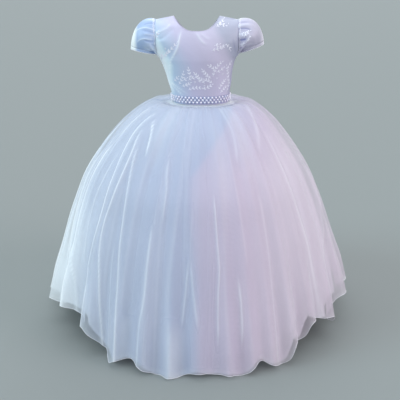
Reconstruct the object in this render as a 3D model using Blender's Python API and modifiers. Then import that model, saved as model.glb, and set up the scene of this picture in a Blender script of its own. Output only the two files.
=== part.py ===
"""A girl's long tulle dress, hollow and filled out as it is when worn.

Metres, +Z up, front towards -Y. The origin is midway between the two neck points of the
shoulder seams, where the wearer's shoulders hold the dress up. Heights are given as drops
below that point. Angles round the body are 0 at the centre front and grow towards +X.
"""

import math
from collections import namedtuple

import bmesh
import bpy
from mathutils import Matrix, Vector
from mathutils.bvhtree import BVHTree

MM = 0.001
# Panels stay this far apart at a seam, and corners of a piece that lies on a curved panel
# stay the larger gap off it, so that the flat faces between them lie closer to it.
SEAM_GAP = 0.3 * MM
LAY_GAP = 1.0 * MM

BODICE_WALL = 1.5 * MM
SLEEVE_WALL = 1.2 * MM
TULLE_WALL = 1.6 * MM
UNDERSKIRT_WALL = 1.4 * MM
LACE_WALL = 1.0 * MM
LACE_GAP = 0.8 * MM

# Neckline, shoulders and armholes
NECK_HALF = 0.077
NECK_DROP_FRONT = 0.044
NECK_DROP_BACK = 0.060
NECK_ROUNDNESS = 2.8
SHOULDER_HALF = 0.136
SHOULDER_DROP = 0.011
UNDERARM_DROP = 0.130
ARMHOLE_HALF_DEPTH = 0.042
SECTION_ROUNDNESS = 2.2
WAIST_DROP = 0.277
BINDING_RADIUS = 1.5 * MM

# One row for each level of the bodice, from the shoulders down
BodiceRow = namedtuple("BodiceRow", "drop half_width front_depth back_depth corner lean")
BODICE = (
    BodiceRow(-0.010, 0.1365, -0.0250, -0.0250, 0.75, -0.0030),
    BodiceRow(0.000, 0.1360, 0.0000, 0.0000, 0.75, -0.0030),
    BodiceRow(0.020, 0.1340, 0.0400, 0.0420, 0.70, -0.0030),
    BodiceRow(0.045, 0.1335, 0.0620, 0.0650, 0.65, -0.0025),
    BodiceRow(0.070, 0.1335, 0.0750, 0.0780, 0.60, -0.0020),
    BodiceRow(0.100, 0.1325, 0.0840, 0.0845, 0.52, -0.0010),
    BodiceRow(0.130, 0.1265, 0.0880, 0.0860, 0.46, 0.0000),
    BodiceRow(0.151, 0.1175, 0.0875, 0.0850, 0.45, 0.0015),
    BodiceRow(0.184, 0.1085, 0.0850, 0.0810, 0.45, 0.0045),
    BodiceRow(0.211, 0.1040, 0.0825, 0.0770, 0.45, 0.0070),
    BodiceRow(0.242, 0.0985, 0.0800, 0.0735, 0.45, 0.0095),
    BodiceRow(0.277, 0.0960, 0.0785, 0.0725, 0.45, 0.0110),
    BodiceRow(0.300, 0.0955, 0.0780, 0.0720, 0.45, 0.0110),
)
BODICE_ROW_SHARES = (0, 0.14, 0.28, 0.42, 0.5526, 0.60, 0.68, 0.77, 0.85, 0.91, 0.96, 1)
NECK_COLUMNS = 5
SHOULDER_COLUMNS = 5
SIDE_SEAM_ANGLE = 89.99

# One row for each level of the skirt's outer line, from the waist seam to the hem.
# Flute is the share of each fold's depth there, gather the height of the small waist gathers.
SkirtRow = namedtuple("SkirtRow", "drop radius roundness lean flute gather")
SKIRT = (
    SkirtRow(0.2774, 0.0965, 0.790, 0.0110, 0.00, 0.0 * MM),
    SkirtRow(0.2790, 0.1100, 0.805, 0.0110, 0.02, 1.5 * MM),
    SkirtRow(0.2700, 0.1300, 0.820, 0.0105, 0.04, 4.0 * MM),
    SkirtRow(0.2680, 0.1680, 0.870, 0.0095, 0.10, 5.0 * MM),
    SkirtRow(0.2925, 0.2130, 0.920, 0.0075, 0.18, 4.5 * MM),
    SkirtRow(0.3330, 0.2590, 0.950, 0.0050, 0.25, 3.5 * MM),
    SkirtRow(0.3860, 0.3030, 0.970, 0.0030, 0.32, 2.5 * MM),
    SkirtRow(0.4480, 0.3470, 0.985, 0.0015, 0.38, 1.5 * MM),
    SkirtRow(0.5190, 0.3870, 1.000, 0.0000, 0.44, 1.0 * MM),
    SkirtRow(0.6010, 0.4200, 1.000, 0.0000, 0.50, 0.5 * MM),
    SkirtRow(0.6820, 0.4485, 1.000, 0.0000, 0.57, 0.0 * MM),
    SkirtRow(0.7630, 0.4730, 1.000, 0.0000, 0.66, 0.0 * MM),
    SkirtRow(0.8420, 0.4965, 1.000, 0.0000, 0.76, 0.0 * MM),
    SkirtRow(0.9220, 0.5200, 1.000, 0.0000, 0.88, 0.0 * MM),
    SkirtRow(1.0270, 0.5430, 1.000, 0.0000, 1.00, 0.0 * MM),
)
SKIRT_LEVELS = (0, 1, 2, 3, 4.3, 6, 8, 10, 12, 14)

# One row for each big fold that flares at the hem. Depth is half of crest to trough there,
# rise how far the crest's hem stays above the lowest point, pull how far it draws in.
FluteRow = namedtuple("FluteRow", "angle depth rise pull")
FLUTES = (
    FluteRow(-170, 0.020, 0.020, 0.000),
    FluteRow(-154, 0.021, 0.026, 0.003),
    FluteRow(-137, 0.024, 0.046, 0.008),
    FluteRow(-121, 0.022, 0.058, 0.010),
    FluteRow(-106, 0.024, 0.060, 0.004),
    FluteRow(-91, 0.022, 0.056, 0.000),
    FluteRow(-75, 0.021, 0.066, 0.006),
    FluteRow(-59, 0.023, 0.082, 0.018),
    FluteRow(-44, 0.025, 0.058, 0.018),
    FluteRow(-30, 0.021, 0.020, 0.004),
    FluteRow(-19, 0.013, 0.016, 0.000),
    FluteRow(-9.5, 0.018, 0.000, 0.000),
    FluteRow(0.5, 0.010, 0.016, 0.000),
    FluteRow(10.5, 0.012, 0.008, 0.000),
    FluteRow(18.5, 0.010, 0.015, 0.000),
    FluteRow(26.5, 0.013, 0.014, 0.000),
    FluteRow(34.5, 0.013, 0.026, 0.003),
    FluteRow(45, 0.024, 0.062, 0.016),
    FluteRow(59, 0.025, 0.076, 0.010),
    FluteRow(75, 0.023, 0.062, 0.004),
    FluteRow(91, 0.022, 0.090, 0.000),
    FluteRow(106, 0.024, 0.070, 0.004),
    FluteRow(121, 0.022, 0.060, 0.010),
    FluteRow(137, 0.024, 0.044, 0.008),
    FluteRow(154, 0.021, 0.024, 0.003),
    FluteRow(170, 0.020, 0.018, 0.000),
)
FLUTE_COLUMNS = 6
# The hem is raised and drawn in only below this share of the skirt, faster and faster
RISE_START = 0.45
RISE_POWER = 1.6

# Each skirt panel runs from the trough before one flute to the trough after another
PANELS = (
    ("tulle_back_left", 0, 3),
    ("tulle_side_left", 4, 8),
    ("tulle_front", 9, 16),
    ("tulle_side_right", 17, 21),
    ("tulle_back_right", 22, 25),
)

UNDERSKIRT_COLUMNS = 48
UNDERSKIRT_WAVES = 12
UNDERSKIRT_WAVE = 0.007
UNDERSKIRT_RISE = 0.0665
UNDERSKIRT_SIDE_RISE = 0.0175
UNDERSKIRT_GAP = 1.3 * MM
UNDERSKIRT_LOW_GAP = 4 * MM
UNDERSKIRT_LEVELS = (0.35, 2, 4, 7, 10.5, 14)

# Pearl belt, round the foot of the bodice
BELT_TOP_DROP = 0.2525
BELT_HEIGHT = 24 * MM
BELT_BAND = 1.2 * MM
PEARL_RISE = 3.4 * MM
PEARLS_IN_A_ROW = 45
PEARL_ROWS = (7 * MM, 17 * MM)
BELT_END_GAP = 1.0 * MM

# Puff sleeves
SLEEVE_GATHERS = 10
SLEEVE_COLUMNS = 40
SLEEVE_SHARES = (0, 0.16, 0.38, 0.62, 0.84, 1)
SLEEVE_SEAM_GATHER = 2.5 * MM
SLEEVE_MIDDLE_GATHER = 0.9 * MM
SLEEVE_EDGE_SHARE = 0.6
# How far the puff runs out from the armhole and rises over the cuff before it turns: a size
# for the whole ring, and what the top adds to it
PuffRow = namedtuple("PuffRow", "ring top sides")
PUFF_REACH = PuffRow(0.027, 0.022, 0)
PUFF_FALL = PuffRow(0.0285, 0.0265, 0)
# How far it swells beyond the armhole and the cuff, with what the top and both sides add
PUFF_AT_ARMHOLE = PuffRow(0.005, 0.006, 0.017)
PUFF_AT_CUFF = PuffRow(-0.004, -0.004, 0.026)
CUFF_CENTRE = Vector((0.1815, 0, -0.1085))
CUFF_HALF_WIDTH = 0.0385
CUFF_HALF_DEPTH = 0.0370
CUFF_TILT = 0.0085
CUFF_HEIGHT = 8 * MM
CUFF_WALL = 1.5 * MM

# Back closing
PLACKET_WIDTH = 20 * MM
PLACKET_WALL = 1.0 * MM
PLACKET_STEPS = 8
PLACKET_TOP_DROP = 0.0615
PLACKET_FOOT_DROP = 0.2515
BUTTON_RADIUS = 5 * MM
BUTTON_HEIGHT = 4.4 * MM
BUTTON_COUNT = 6
BUTTON_TOP_DROP = 0.070
BUTTON_FOOT_DROP = 0.2405

# One row for each lace spray. Angle is round the body, heading the way the stem grows (0 is up).
SprayRow = namedtuple("SprayRow", "name angle drop heading length pairs curl")
SPRAYS = (
    SprayRow("lace_side_left", -60, 0.128, 62, 0.046, 4, -30),
    SprayRow("lace_chest_right", 22, 0.104, 78, 0.046, 4, -25),
    SprayRow("lace_shoulder_right", 41, 0.042, 4, 0.024, 2, 10),
    SprayRow("lace_front_left", -40, 0.228, 42, 0.050, 4, 40),
    SprayRow("lace_front_middle", -2, 0.228, 48, 0.052, 4, -30),
    SprayRow("lace_front_right", 21, 0.182, 62, 0.048, 4, -25),
    SprayRow("lace_side_right", 57, 0.236, 5, 0.058, 5, -15),
)
LEAF_LENGTH = 10 * MM
LEAF_WIDTH = 4.6 * MM
STEM_WIDTH = 2.2 * MM
LEAF_LEAN = 42
LEAF_SMALLEST = 0.7
# A leaf's corners from its root, as shares of its length and of its width
LEAF_CORNERS = ((0.45, 0.55), (1, 0), (0.55, -0.45))
TIP_LEAF_CORNERS = ((0.35, 0.42), (0.9, 0), (0.35, -0.42))

Finish = namedtuple("Finish", "colour roughness")
SATIN = Finish((0.66, 0.69, 0.83), 0.38)
TULLE = Finish((0.70, 0.75, 0.88), 0.75)
LINING = Finish((0.63, 0.67, 0.80), 0.55)
LACE = Finish((0.84, 0.85, 0.94), 0.55)
PEARL = Finish((0.85, 0.86, 0.92), 0.22)


def eased(rows, column, at, key=None):
    """A column's value on a smooth curve through the rows, at a key value or a row number."""
    keys = [getattr(row, key) if key else number for number, row in enumerate(rows)]
    values = [getattr(row, column) for row in rows]
    at = min(max(at, keys[0]), keys[-1])
    first = max(i for i, k in enumerate(keys[:-1]) if k <= at)
    span = keys[first + 1] - keys[first]

    def slope(i):
        low, high = max(i - 1, 0), min(i + 1, len(keys) - 1)
        return (values[high] - values[low]) / (keys[high] - keys[low])

    f = (at - keys[first]) / span
    rise = values[first + 1] - values[first]
    start, end = slope(first) * span, slope(first + 1) * span
    curve = f * f * (3 - 2 * f) * rise + f * (1 - f) * ((1 - f) * start - f * end)
    return values[first] + curve


def material(name, finish):
    found = bpy.data.materials.get(name)
    if found:
        return found
    made = bpy.data.materials.new(name)
    made.use_nodes = True
    shader = made.node_tree.nodes["Principled BSDF"]
    shader.inputs["Base Color"].default_value = (*finish.colour, 1)
    shader.inputs["Roughness"].default_value = finish.roughness
    shader.inputs["Metallic"].default_value = 0.0
    return made


def add_object(name, data, surface):
    data.materials.append(surface)
    made = bpy.data.objects.new(name, data)
    bpy.data.collections["tulle_dress"].objects.link(made)
    return made


def add_grid(bm, rows, ring):
    """Adds a loft through the rows of points, and returns its vertices row by row."""
    grid = [[bm.verts.new(point) for point in row] for row in rows]
    for lower, upper in zip(grid, grid[1:]):
        count = len(lower)
        for i in range(count if ring else count - 1):
            j = (i + 1) % count
            bm.faces.new((lower[i], lower[j], upper[j], upper[i]))
    return grid


def thicken(made, thickness):
    """Gives a one-sided surface its wall, on the outer side."""
    wall = made.modifiers.new("wall", "SOLIDIFY")
    wall.thickness = thickness
    wall.offset = 1


def cloth(name, rows, thickness, surface):
    """A cloth wall: a loft through rows of points, thickened outwards from them."""
    bm = bmesh.new()
    add_grid(bm, rows, False)
    mesh = bpy.data.meshes.new(name)
    bm.to_mesh(mesh)
    bm.free()
    mesh.shade_smooth()
    made = add_object(name, mesh, surface)
    thicken(made, thickness)


def shell(name, outer, inner, surface, ring=False):
    """A closed wall between an outer loft and an inner one that lie point against point."""
    bm = bmesh.new()
    out = add_grid(bm, outer, ring)
    back = [row[::-1] for row in add_grid(bm, [row[::-1] for row in inner], ring)]
    count = len(out[0])
    for i in range(count if ring else count - 1):
        j = (i + 1) % count
        bm.faces.new((out[0][j], out[0][i], back[0][i], back[0][j]))
        bm.faces.new((out[-1][i], out[-1][j], back[-1][j], back[-1][i]))
    if not ring:
        left_out, left_in = [row[0] for row in out], [row[0] for row in back]
        right_out, right_in = [row[-1] for row in out], [row[-1] for row in back]
        for k in range(len(out) - 1):
            m = k + 1
            bm.faces.new((left_out[k], left_out[m], left_in[m], left_in[k]))
            bm.faces.new((right_out[m], right_out[k], right_in[k], right_in[m]))
    mesh = bpy.data.meshes.new(name)
    bm.to_mesh(mesh)
    bm.free()
    mesh.shade_smooth()
    add_object(name, mesh, surface)


# Bodice


def armhole_depth(drop):
    """Half the front-to-back size of the armhole, which is an ellipse seen from the side."""
    middle = (SHOULDER_DROP + UNDERARM_DROP) / 2
    reach = (UNDERARM_DROP - SHOULDER_DROP) / 2
    return ARMHOLE_HALF_DEPTH * math.sqrt(max(0, 1 - ((drop - middle) / reach) ** 2))


def shoulder_line(across):
    """Drop of the shoulder seam, at a distance from the centre."""
    share = (across - NECK_HALF) / (SHOULDER_HALF - NECK_HALF)
    return SHOULDER_DROP * min(max(share, 0), 1)


def torso(angle, drop):
    """A point of the bodice's inner surface."""
    turn = math.radians(angle)
    share, facing = math.sin(turn), 1 if math.cos(turn) >= 0 else -1
    half_width = eased(BODICE, "half_width", drop, "drop")
    slope = shoulder_line(abs(share) * half_width) * max(0, 1 - drop / UNDERARM_DROP)
    column = "front_depth" if facing > 0 else "back_depth"
    middle = eased(BODICE, column, drop - slope, "drop")
    corner = eased(BODICE, "corner", drop, "drop")
    edge = min(armhole_depth(drop), middle)
    bulge = max(0, 1 - abs(share) ** SECTION_ROUNDNESS) ** corner
    depth = edge + (middle - edge) * bulge
    lean = eased(BODICE, "lean", drop, "drop")
    return Vector((lean + share * half_width, -facing * depth, -drop))


def torso_normal(angle, drop):
    """The outward direction of the bodice there."""
    step_angle, step_drop = 0.5, 0.5 * MM
    across = torso(angle + step_angle, drop) - torso(angle - step_angle, drop)
    down = torso(angle, drop + step_drop) - torso(angle, drop - step_drop)
    return down.cross(across).normalized()


def bodice_top(angle):
    """Drop of the bodice's upper edge: the neckline in the middle, then the shoulder seam."""
    turn = math.radians(angle)
    across = abs(math.sin(turn)) * SHOULDER_HALF
    if across >= NECK_HALF:
        return shoulder_line(across)
    deepest = NECK_DROP_FRONT if math.cos(turn) > 0 else NECK_DROP_BACK
    return deepest * (1 - (across / NECK_HALF) ** NECK_ROUNDNESS)


def quarter_angles():
    """Column angles from the centre line to the side seam, one of them at the neck point."""
    neck = math.degrees(math.asin(NECK_HALF / SHOULDER_HALF))
    inner = [neck * i / NECK_COLUMNS for i in range(NECK_COLUMNS)]
    step = (SIDE_SEAM_ANGLE - neck) / SHOULDER_COLUMNS
    outer = [neck + step * i for i in range(SHOULDER_COLUMNS + 1)]
    return inner + outer


def bodice_panel(name, angles, shift):
    """One panel of the bodice, moved a little off its seams."""
    rows = []
    for share in BODICE_ROW_SHARES:
        row = []
        for angle in angles:
            drop = WAIST_DROP + (bodice_top(angle) - WAIST_DROP) * share
            row.append(torso(angle, drop) + shift)
        rows.append(row)
    cloth(name, rows, BODICE_WALL, material("satin", SATIN))


def bodice():
    quarter = quarter_angles()
    half = SEAM_GAP / 2
    front = [-a for a in reversed(quarter[1:])] + quarter
    bodice_panel("bodice_front", front, Vector((0, -half, 0)))
    right = [180 - a for a in reversed(quarter)]
    bodice_panel("bodice_back_right", right, Vector((half, half, 0)))
    left = [a - 180 for a in quarter]
    bodice_panel("bodice_back_left", left, Vector((-half, half, 0)))


def neck_binding():
    """The rolled edge of the neckline, open at the centre back, made from the panels' edge."""
    neck = quarter_angles()[: NECK_COLUMNS + 1]
    neck_points = (NECK_COLUMNS, NECK_COLUMNS + 1, 3 * NECK_COLUMNS + 1, 3 * NECK_COLUMNS + 2)
    back_left = [a - 180 for a in neck]
    front = [-a for a in neck[::-1]] + neck[1:]
    back_right = [180 - a for a in neck[::-1]]
    angles = back_left + front + back_right
    edge = [torso(a, bodice_top(a)) for a in angles]
    route = []
    for i, angle in enumerate(angles):
        before, after = edge[max(i - 2, 0)], edge[min(i + 2, len(edge) - 1)]
        normal = torso_normal(angle, bodice_top(angle) + 3 * MM)
        if i in neck_points:
            normal = Vector((0, 0, 1))
        away = normal.cross(after - before).normalized()
        lift = BINDING_RADIUS + 2 * SEAM_GAP
        route.append(edge[i] + normal * BODICE_WALL / 2 + away * lift)
    points = [p for i, p in enumerate(route) if i == 0 or (p - route[i - 1]).length > MM]
    points[0].x -= LAY_GAP
    points[-1].x += LAY_GAP
    curve = bpy.data.curves.new("neck_binding", "CURVE")
    curve.dimensions = "3D"
    line = curve.splines.new("POLY")
    line.points.add(len(points) - 1)
    for point, place in zip(line.points, points):
        point.co = (*place, 1)
    curve.bevel_depth = BINDING_RADIUS
    curve.bevel_resolution = 1
    curve.use_fill_caps = True
    add_object("neck_binding", curve, material("satin", SATIN))


# Sleeves


def puff_size(row, turn):
    return row.ring + row.top * math.cos(turn) + row.sides * math.sin(turn) ** 2


def sleeve_point(turn, share, lift):
    """A point of the right sleeve: turn 0 is over the shoulder, share 0 the armhole, 1 the cuff."""
    c, s = math.cos(turn), math.sin(turn)
    drop = (SHOULDER_DROP + UNDERARM_DROP) / 2 - (UNDERARM_DROP - SHOULDER_DROP) / 2 * c
    armhole_x = eased(BODICE, "half_width", drop, "drop") + BODICE_WALL + LAY_GAP
    start = Vector((armhole_x, -ARMHOLE_HALF_DEPTH * s, -drop))
    end = CUFF_CENTRE + Vector((CUFF_HALF_WIDTH * c, -CUFF_HALF_DEPTH * s, CUFF_TILT * c))
    up_out = Vector((0, -s, c))
    flat_out = Vector((c, -s, 0))
    reach = Vector((puff_size(PUFF_REACH, turn), 0, 0))
    fall = Vector((0, 0, puff_size(PUFF_FALL, turn)))
    first = start + reach + up_out * puff_size(PUFF_AT_ARMHOLE, turn)
    second = end + fall + flat_out * puff_size(PUFF_AT_CUFF, turn)
    f, g = share, 1 - share
    point = start * g**3 + first * 3 * g * g * f + second * 3 * g * f * f + end * f**3
    outward = (up_out * g + flat_out * f).normalized()
    return point + outward * lift


def sleeve_gather(turn, share):
    """Height of the gathers: deep at both seams, soft between, none under the arm."""
    plain, full = -0.75, -0.25
    upper = max(0, min(1, (math.cos(turn) - plain) / (full - plain)))
    middle = math.sin(math.pi * share)
    height = SLEEVE_SEAM_GATHER + (SLEEVE_MIDDLE_GATHER - SLEEVE_SEAM_GATHER) * middle
    return height * upper * math.cos(SLEEVE_GATHERS * turn)


def sleeve_row(side, share, lift, down=0):
    """The ring of points of either sleeve at a share of its length, side -1 the viewer's left."""
    row = []
    for i in range(SLEEVE_COLUMNS):
        turn = 2 * math.pi * i / SLEEVE_COLUMNS
        grown = 1 if 0 < share < 1 else SLEEVE_EDGE_SHARE
        gather = 0 if down else grown * sleeve_gather(turn, share)
        point = sleeve_point(turn, share, gather + lift) - Vector((0, 0, down))
        lean = eased(BODICE, "lean", -point.z, "drop")
        row.append(Vector((side * point.x + lean, point.y, point.z)))
    return row[::-1] if side < 0 else row


def sleeves():
    for side, name in ((-1, "left"), (1, "right")):
        inner = [sleeve_row(side, share, 0) for share in SLEEVE_SHARES]
        outer = [sleeve_row(side, share, SLEEVE_WALL) for share in SLEEVE_SHARES]
        shell(f"sleeve_{name}", outer, inner, material("satin", SATIN), True)
        levels = (2 * LAY_GAP, 2 * LAY_GAP + CUFF_HEIGHT)
        inner = [sleeve_row(side, 1, 0, down) for down in levels]
        outer = [sleeve_row(side, 1, CUFF_WALL, down) for down in levels]
        shell(f"cuff_{name}", outer, inner, material("satin", SATIN), True)


# Skirt


def skirt_profile(level):
    """Radius and height of the skirt's outer line at a level, and its inward normal."""
    step = 0.05
    low, high = max(level - step, 0), min(level + step, len(SKIRT) - 1)
    across = eased(SKIRT, "radius", high) - eased(SKIRT, "radius", low)
    down = eased(SKIRT, "drop", high) - eased(SKIRT, "drop", low)
    long = math.hypot(across, down)
    normal = (-down / long, -across / long)
    return eased(SKIRT, "radius", level), -eased(SKIRT, "drop", level), normal


def skirt_point(angle, level, inward, rise, pull):
    """A point of the skirt, moved inwards from its outer line, with the hem raised and drawn in."""
    radius, height, normal = skirt_profile(level)
    share = level / (len(SKIRT) - 1)
    low = max(0, (share - RISE_START) / (1 - RISE_START)) ** RISE_POWER
    radius += normal[0] * inward - pull * low
    height += normal[1] * inward + rise * low
    turn = math.radians(angle)
    roundness = eased(SKIRT, "roundness", level)
    lean = eased(SKIRT, "lean", level)
    return Vector((lean + radius * math.sin(turn), -radius * roundness * math.cos(turn), height))


def flute_pair(index):
    """A flute and the next one round, with the next one's angle past it."""
    here = FLUTES[index % len(FLUTES)]
    after = FLUTES[(index + 1) % len(FLUTES)]
    span = (after.angle - here.angle) % 360
    return here, after, span


def tulle_column(index, phase, nudge, deeper):
    """Points down the tulle, outer or deeper, at a phase from a flute's crest to the next one's."""
    here, after, span = flute_pair(index)
    wave = (1 - math.cos(2 * math.pi * phase)) / 2
    ripple = (1 - math.cos(4 * math.pi * phase)) / 2
    depth = here.depth + (after.depth - here.depth) * phase
    rise = here.rise + (after.rise - here.rise) * phase
    pull = here.pull + (after.pull - here.pull) * phase
    points = []
    for level in SKIRT_LEVELS:
        inward = 2 * depth * wave * eased(SKIRT, "flute", level)
        inward += ripple * eased(SKIRT, "gather", level) + deeper
        radius = eased(SKIRT, "radius", level)
        angle = here.angle + span * phase + math.degrees(nudge / radius)
        points.append(skirt_point(angle, level, inward, rise, pull))
    return points


def tulle_rows(first, last, deeper):
    """A panel's points level by level, from one seam, at the bottom of a fold, to the other."""
    half = SEAM_GAP / 2
    seam = FLUTE_COLUMNS // 2
    columns = [tulle_column(first - 1, 0.5, half, deeper)]
    for step in range((first - 1) * FLUTE_COLUMNS + seam + 1, last * FLUTE_COLUMNS + seam):
        phase = (step % FLUTE_COLUMNS) / FLUTE_COLUMNS
        columns.append(tulle_column(step // FLUTE_COLUMNS, phase, 0, deeper))
    columns.append(tulle_column(last, 0.5, -half, deeper))
    return [list(row) for row in zip(*columns)][::-1]


def tulle_panels():
    for name, first, last in PANELS:
        outer, inner = tulle_rows(first, last, 0), tulle_rows(first, last, TULLE_WALL)
        shell(name, outer, inner, material("tulle", TULLE))


def underskirt():
    """The opaque skirt that shows through the tulle, clear of its deepest troughs."""
    deepest = max(2 * row.depth + row.pull for row in FLUTES)
    outer, inner = [], []
    for level in UNDERSKIRT_LEVELS[::-1]:
        flute = eased(SKIRT, "flute", level)
        clear = deepest * flute + eased(SKIRT, "gather", level) + TULLE_WALL
        clear += UNDERSKIRT_GAP + UNDERSKIRT_LOW_GAP * min(1, level / 2)
        near, far = [], []
        for i in range(UNDERSKIRT_COLUMNS):
            angle = 360 * i / UNDERSKIRT_COLUMNS
            wave = 1 - math.cos(2 * math.pi * UNDERSKIRT_WAVES * i / UNDERSKIRT_COLUMNS)
            inward = clear + UNDERSKIRT_WAVE * wave * flute
            rise = UNDERSKIRT_RISE - UNDERSKIRT_SIDE_RISE * math.cos(2 * math.radians(angle))
            near.append(skirt_point(angle, level, inward, rise, 0))
            far.append(skirt_point(angle, level, inward + UNDERSKIRT_WALL, rise, 0))
        outer.append(near)
        inner.append(far)
    shell("underskirt", outer, inner, material("lining", LINING), True)


# Belt


def belt_ring(drop, out, count):
    """Points evenly spaced round the bodice at a drop, from the centre back, moved out from it."""
    fine = 720
    angles = [-180 + 360 * i / fine for i in range(fine + 1)]
    line = [torso(a, drop) + torso_normal(a, drop) * out for a in angles]
    along = [0.0]
    for a, b in zip(line, line[1:]):
        along.append(along[-1] + (b - a).length)
    start, end = BELT_END_GAP / 2, along[-1] - BELT_END_GAP / 2
    points, j = [], 0
    for i in range(count + 1):
        want = start + (end - start) * i / count
        while along[j + 1] < want:
            j += 1
        f = (want - along[j]) / (along[j + 1] - along[j])
        points.append(line[j].lerp(line[j + 1], f))
    return points


def belt():
    """The pearl belt: a band whose outer points stand up at each pearl, over a plain inside."""
    columns = 2 * PEARLS_IN_A_ROW
    levels = (0, PEARL_ROWS[0], sum(PEARL_ROWS) / 2, PEARL_ROWS[1], BELT_HEIGHT)
    clear = BODICE_WALL + LAY_GAP
    bm = bmesh.new()
    outer, inner = [], []
    for high in levels:
        drop = BELT_TOP_DROP + BELT_HEIGHT - high
        row = belt_ring(drop, clear + BELT_BAND, columns)
        tops = belt_ring(drop, clear + BELT_BAND + PEARL_RISE, columns)
        for i in range(1, columns):
            if high in PEARL_ROWS and i % 2 == PEARL_ROWS.index(high):
                row[i] = tops[i]
        outer.append(row)
        if high in (0, BELT_HEIGHT):
            inner.append(belt_ring(drop, clear, columns)[::-1])
    out = add_grid(bm, outer, False)
    back = [row[::-1] for row in add_grid(bm, inner, False)]
    for i in range(columns):
        bm.faces.new((out[0][i + 1], out[0][i], back[0][i], back[0][i + 1]))
        bm.faces.new((out[-1][i], out[-1][i + 1], back[1][i + 1], back[1][i]))
    bm.faces.new([row[0] for row in out] + [back[1][0], back[0][0]])
    bm.faces.new([row[-1] for row in out[::-1]] + [back[0][-1], back[1][-1]])
    mesh = bpy.data.meshes.new("belt")
    bm.to_mesh(mesh)
    bm.free()
    mesh.shade_smooth()
    add_object("belt", mesh, material("pearl", PEARL))


# Back closing


def placket_angle(drop, across):
    """The angle round the body that lies a distance from the centre-back line."""
    return 180 - math.degrees(math.asin(across / eased(BODICE, "half_width", drop, "drop")))


def placket():
    """The strip that covers the centre-back opening, on the outside of the back panels."""
    rows = []
    for i in range(PLACKET_STEPS + 1):
        share = i / PLACKET_STEPS
        drop = PLACKET_FOOT_DROP + (PLACKET_TOP_DROP - PLACKET_FOOT_DROP) * share
        row = []
        for across in (PLACKET_WIDTH / 2, 0, -PLACKET_WIDTH / 2):
            angle = placket_angle(drop, across)
            row.append(torso(angle, drop) + torso_normal(angle, drop) * (BODICE_WALL + LAY_GAP))
        rows.append(row)
    cloth("back_placket", rows, PLACKET_WALL, material("satin", SATIN))


def seat(panel, angle, drop, gap):
    """The place a gap off a panel's outer surface, and the outward direction there."""
    normal = torso_normal(angle, drop)
    well_outside = 20 * MM
    start = torso(angle, drop) + normal * well_outside
    hit = panel.ray_cast(start, -normal)[0]
    return hit + normal * gap, normal


def solid_surface(name):
    graph = bpy.context.evaluated_depsgraph_get()
    return BVHTree.FromObject(bpy.data.objects[name], graph)


def buttons():
    mesh = bpy.data.meshes.new("button")
    bm = bmesh.new()
    bmesh.ops.create_uvsphere(bm, u_segments=10, v_segments=6, radius=BUTTON_RADIUS)
    bmesh.ops.scale(bm, vec=(1, 1, BUTTON_HEIGHT / 2 / BUTTON_RADIUS), verts=bm.verts)
    bm.to_mesh(mesh)
    bm.free()
    mesh.shade_smooth()
    mesh.materials.append(material("satin", SATIN))
    strip = solid_surface("back_placket")
    for number in range(BUTTON_COUNT):
        share = number / (BUTTON_COUNT - 1)
        drop = BUTTON_TOP_DROP + (BUTTON_FOOT_DROP - BUTTON_TOP_DROP) * share
        place, normal = seat(strip, 180, drop, BUTTON_HEIGHT / 2 + SEAM_GAP)
        made = bpy.data.objects.new(f"button_{number + 1}", mesh)
        made.location = place
        made.rotation_euler = normal.to_track_quat("Z", "Y").to_euler()
        bpy.data.collections["tulle_dress"].objects.link(made)


# Lace


def stem_points(row, steps):
    """The stem's centre line in a flat frame, x across and y along its heading, with its turn."""
    points, place, turn = [], Vector((0, 0)), 0.0
    for i in range(steps + 1):
        points.append((place.copy(), turn))
        turn = math.radians(row.curl) * (i + 1) / steps
        place += Vector((math.sin(turn), math.cos(turn))) * row.length / steps
    return points


def leaf_side(root, turn, side, size):
    """Points round a leaf that grows from the stem towards its tip."""
    lean = turn + side * math.radians(LEAF_LEAN)
    along = Vector((math.sin(lean), math.cos(lean)))
    across = Vector((math.cos(lean), -math.sin(lean))) * side
    long, wide = LEAF_LENGTH * size, LEAF_WIDTH * size
    return [root + along * a * long + across * b * wide for a, b in LEAF_CORNERS]


def spray_outline(row):
    """The closed outline of a stem with pairs of leaves and one leaf at its tip."""
    steps = row.pairs * 2
    stem = stem_points(row, steps)
    sides = {1: [], -1: []}
    for side in (1, -1):
        for i, (place, turn) in enumerate(stem):
            out = Vector((math.cos(turn), -math.sin(turn))) * side * STEM_WIDTH / 2
            sides[side].append(place + out)
            if i % 2 == 1 and i < steps - 1:
                size = LEAF_SMALLEST + (1 - LEAF_SMALLEST) * math.sin(math.pi * i / steps)
                sides[side] += leaf_side(place + out, turn, side, size)
                ahead = Vector((math.sin(turn), math.cos(turn))) * STEM_WIDTH
                sides[side].append(place + out + ahead)
    place, turn = stem[-1]
    long = Vector((math.sin(turn), math.cos(turn))) * LEAF_LENGTH
    wide = Vector((math.cos(turn), -math.sin(turn))) * LEAF_WIDTH
    top = [place + long * a + wide * b for a, b in TIP_LEAF_CORNERS]
    return sides[1] + top + sides[-1][::-1]


def angle_along(angle, drop, distance):
    """The angle round the body reached from another one by a distance along the surface."""
    steps = 12
    for _ in range(steps):
        rate = (torso(angle + 0.5, drop) - torso(angle - 0.5, drop)).length
        angle += distance / steps / rate
    return angle


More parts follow.
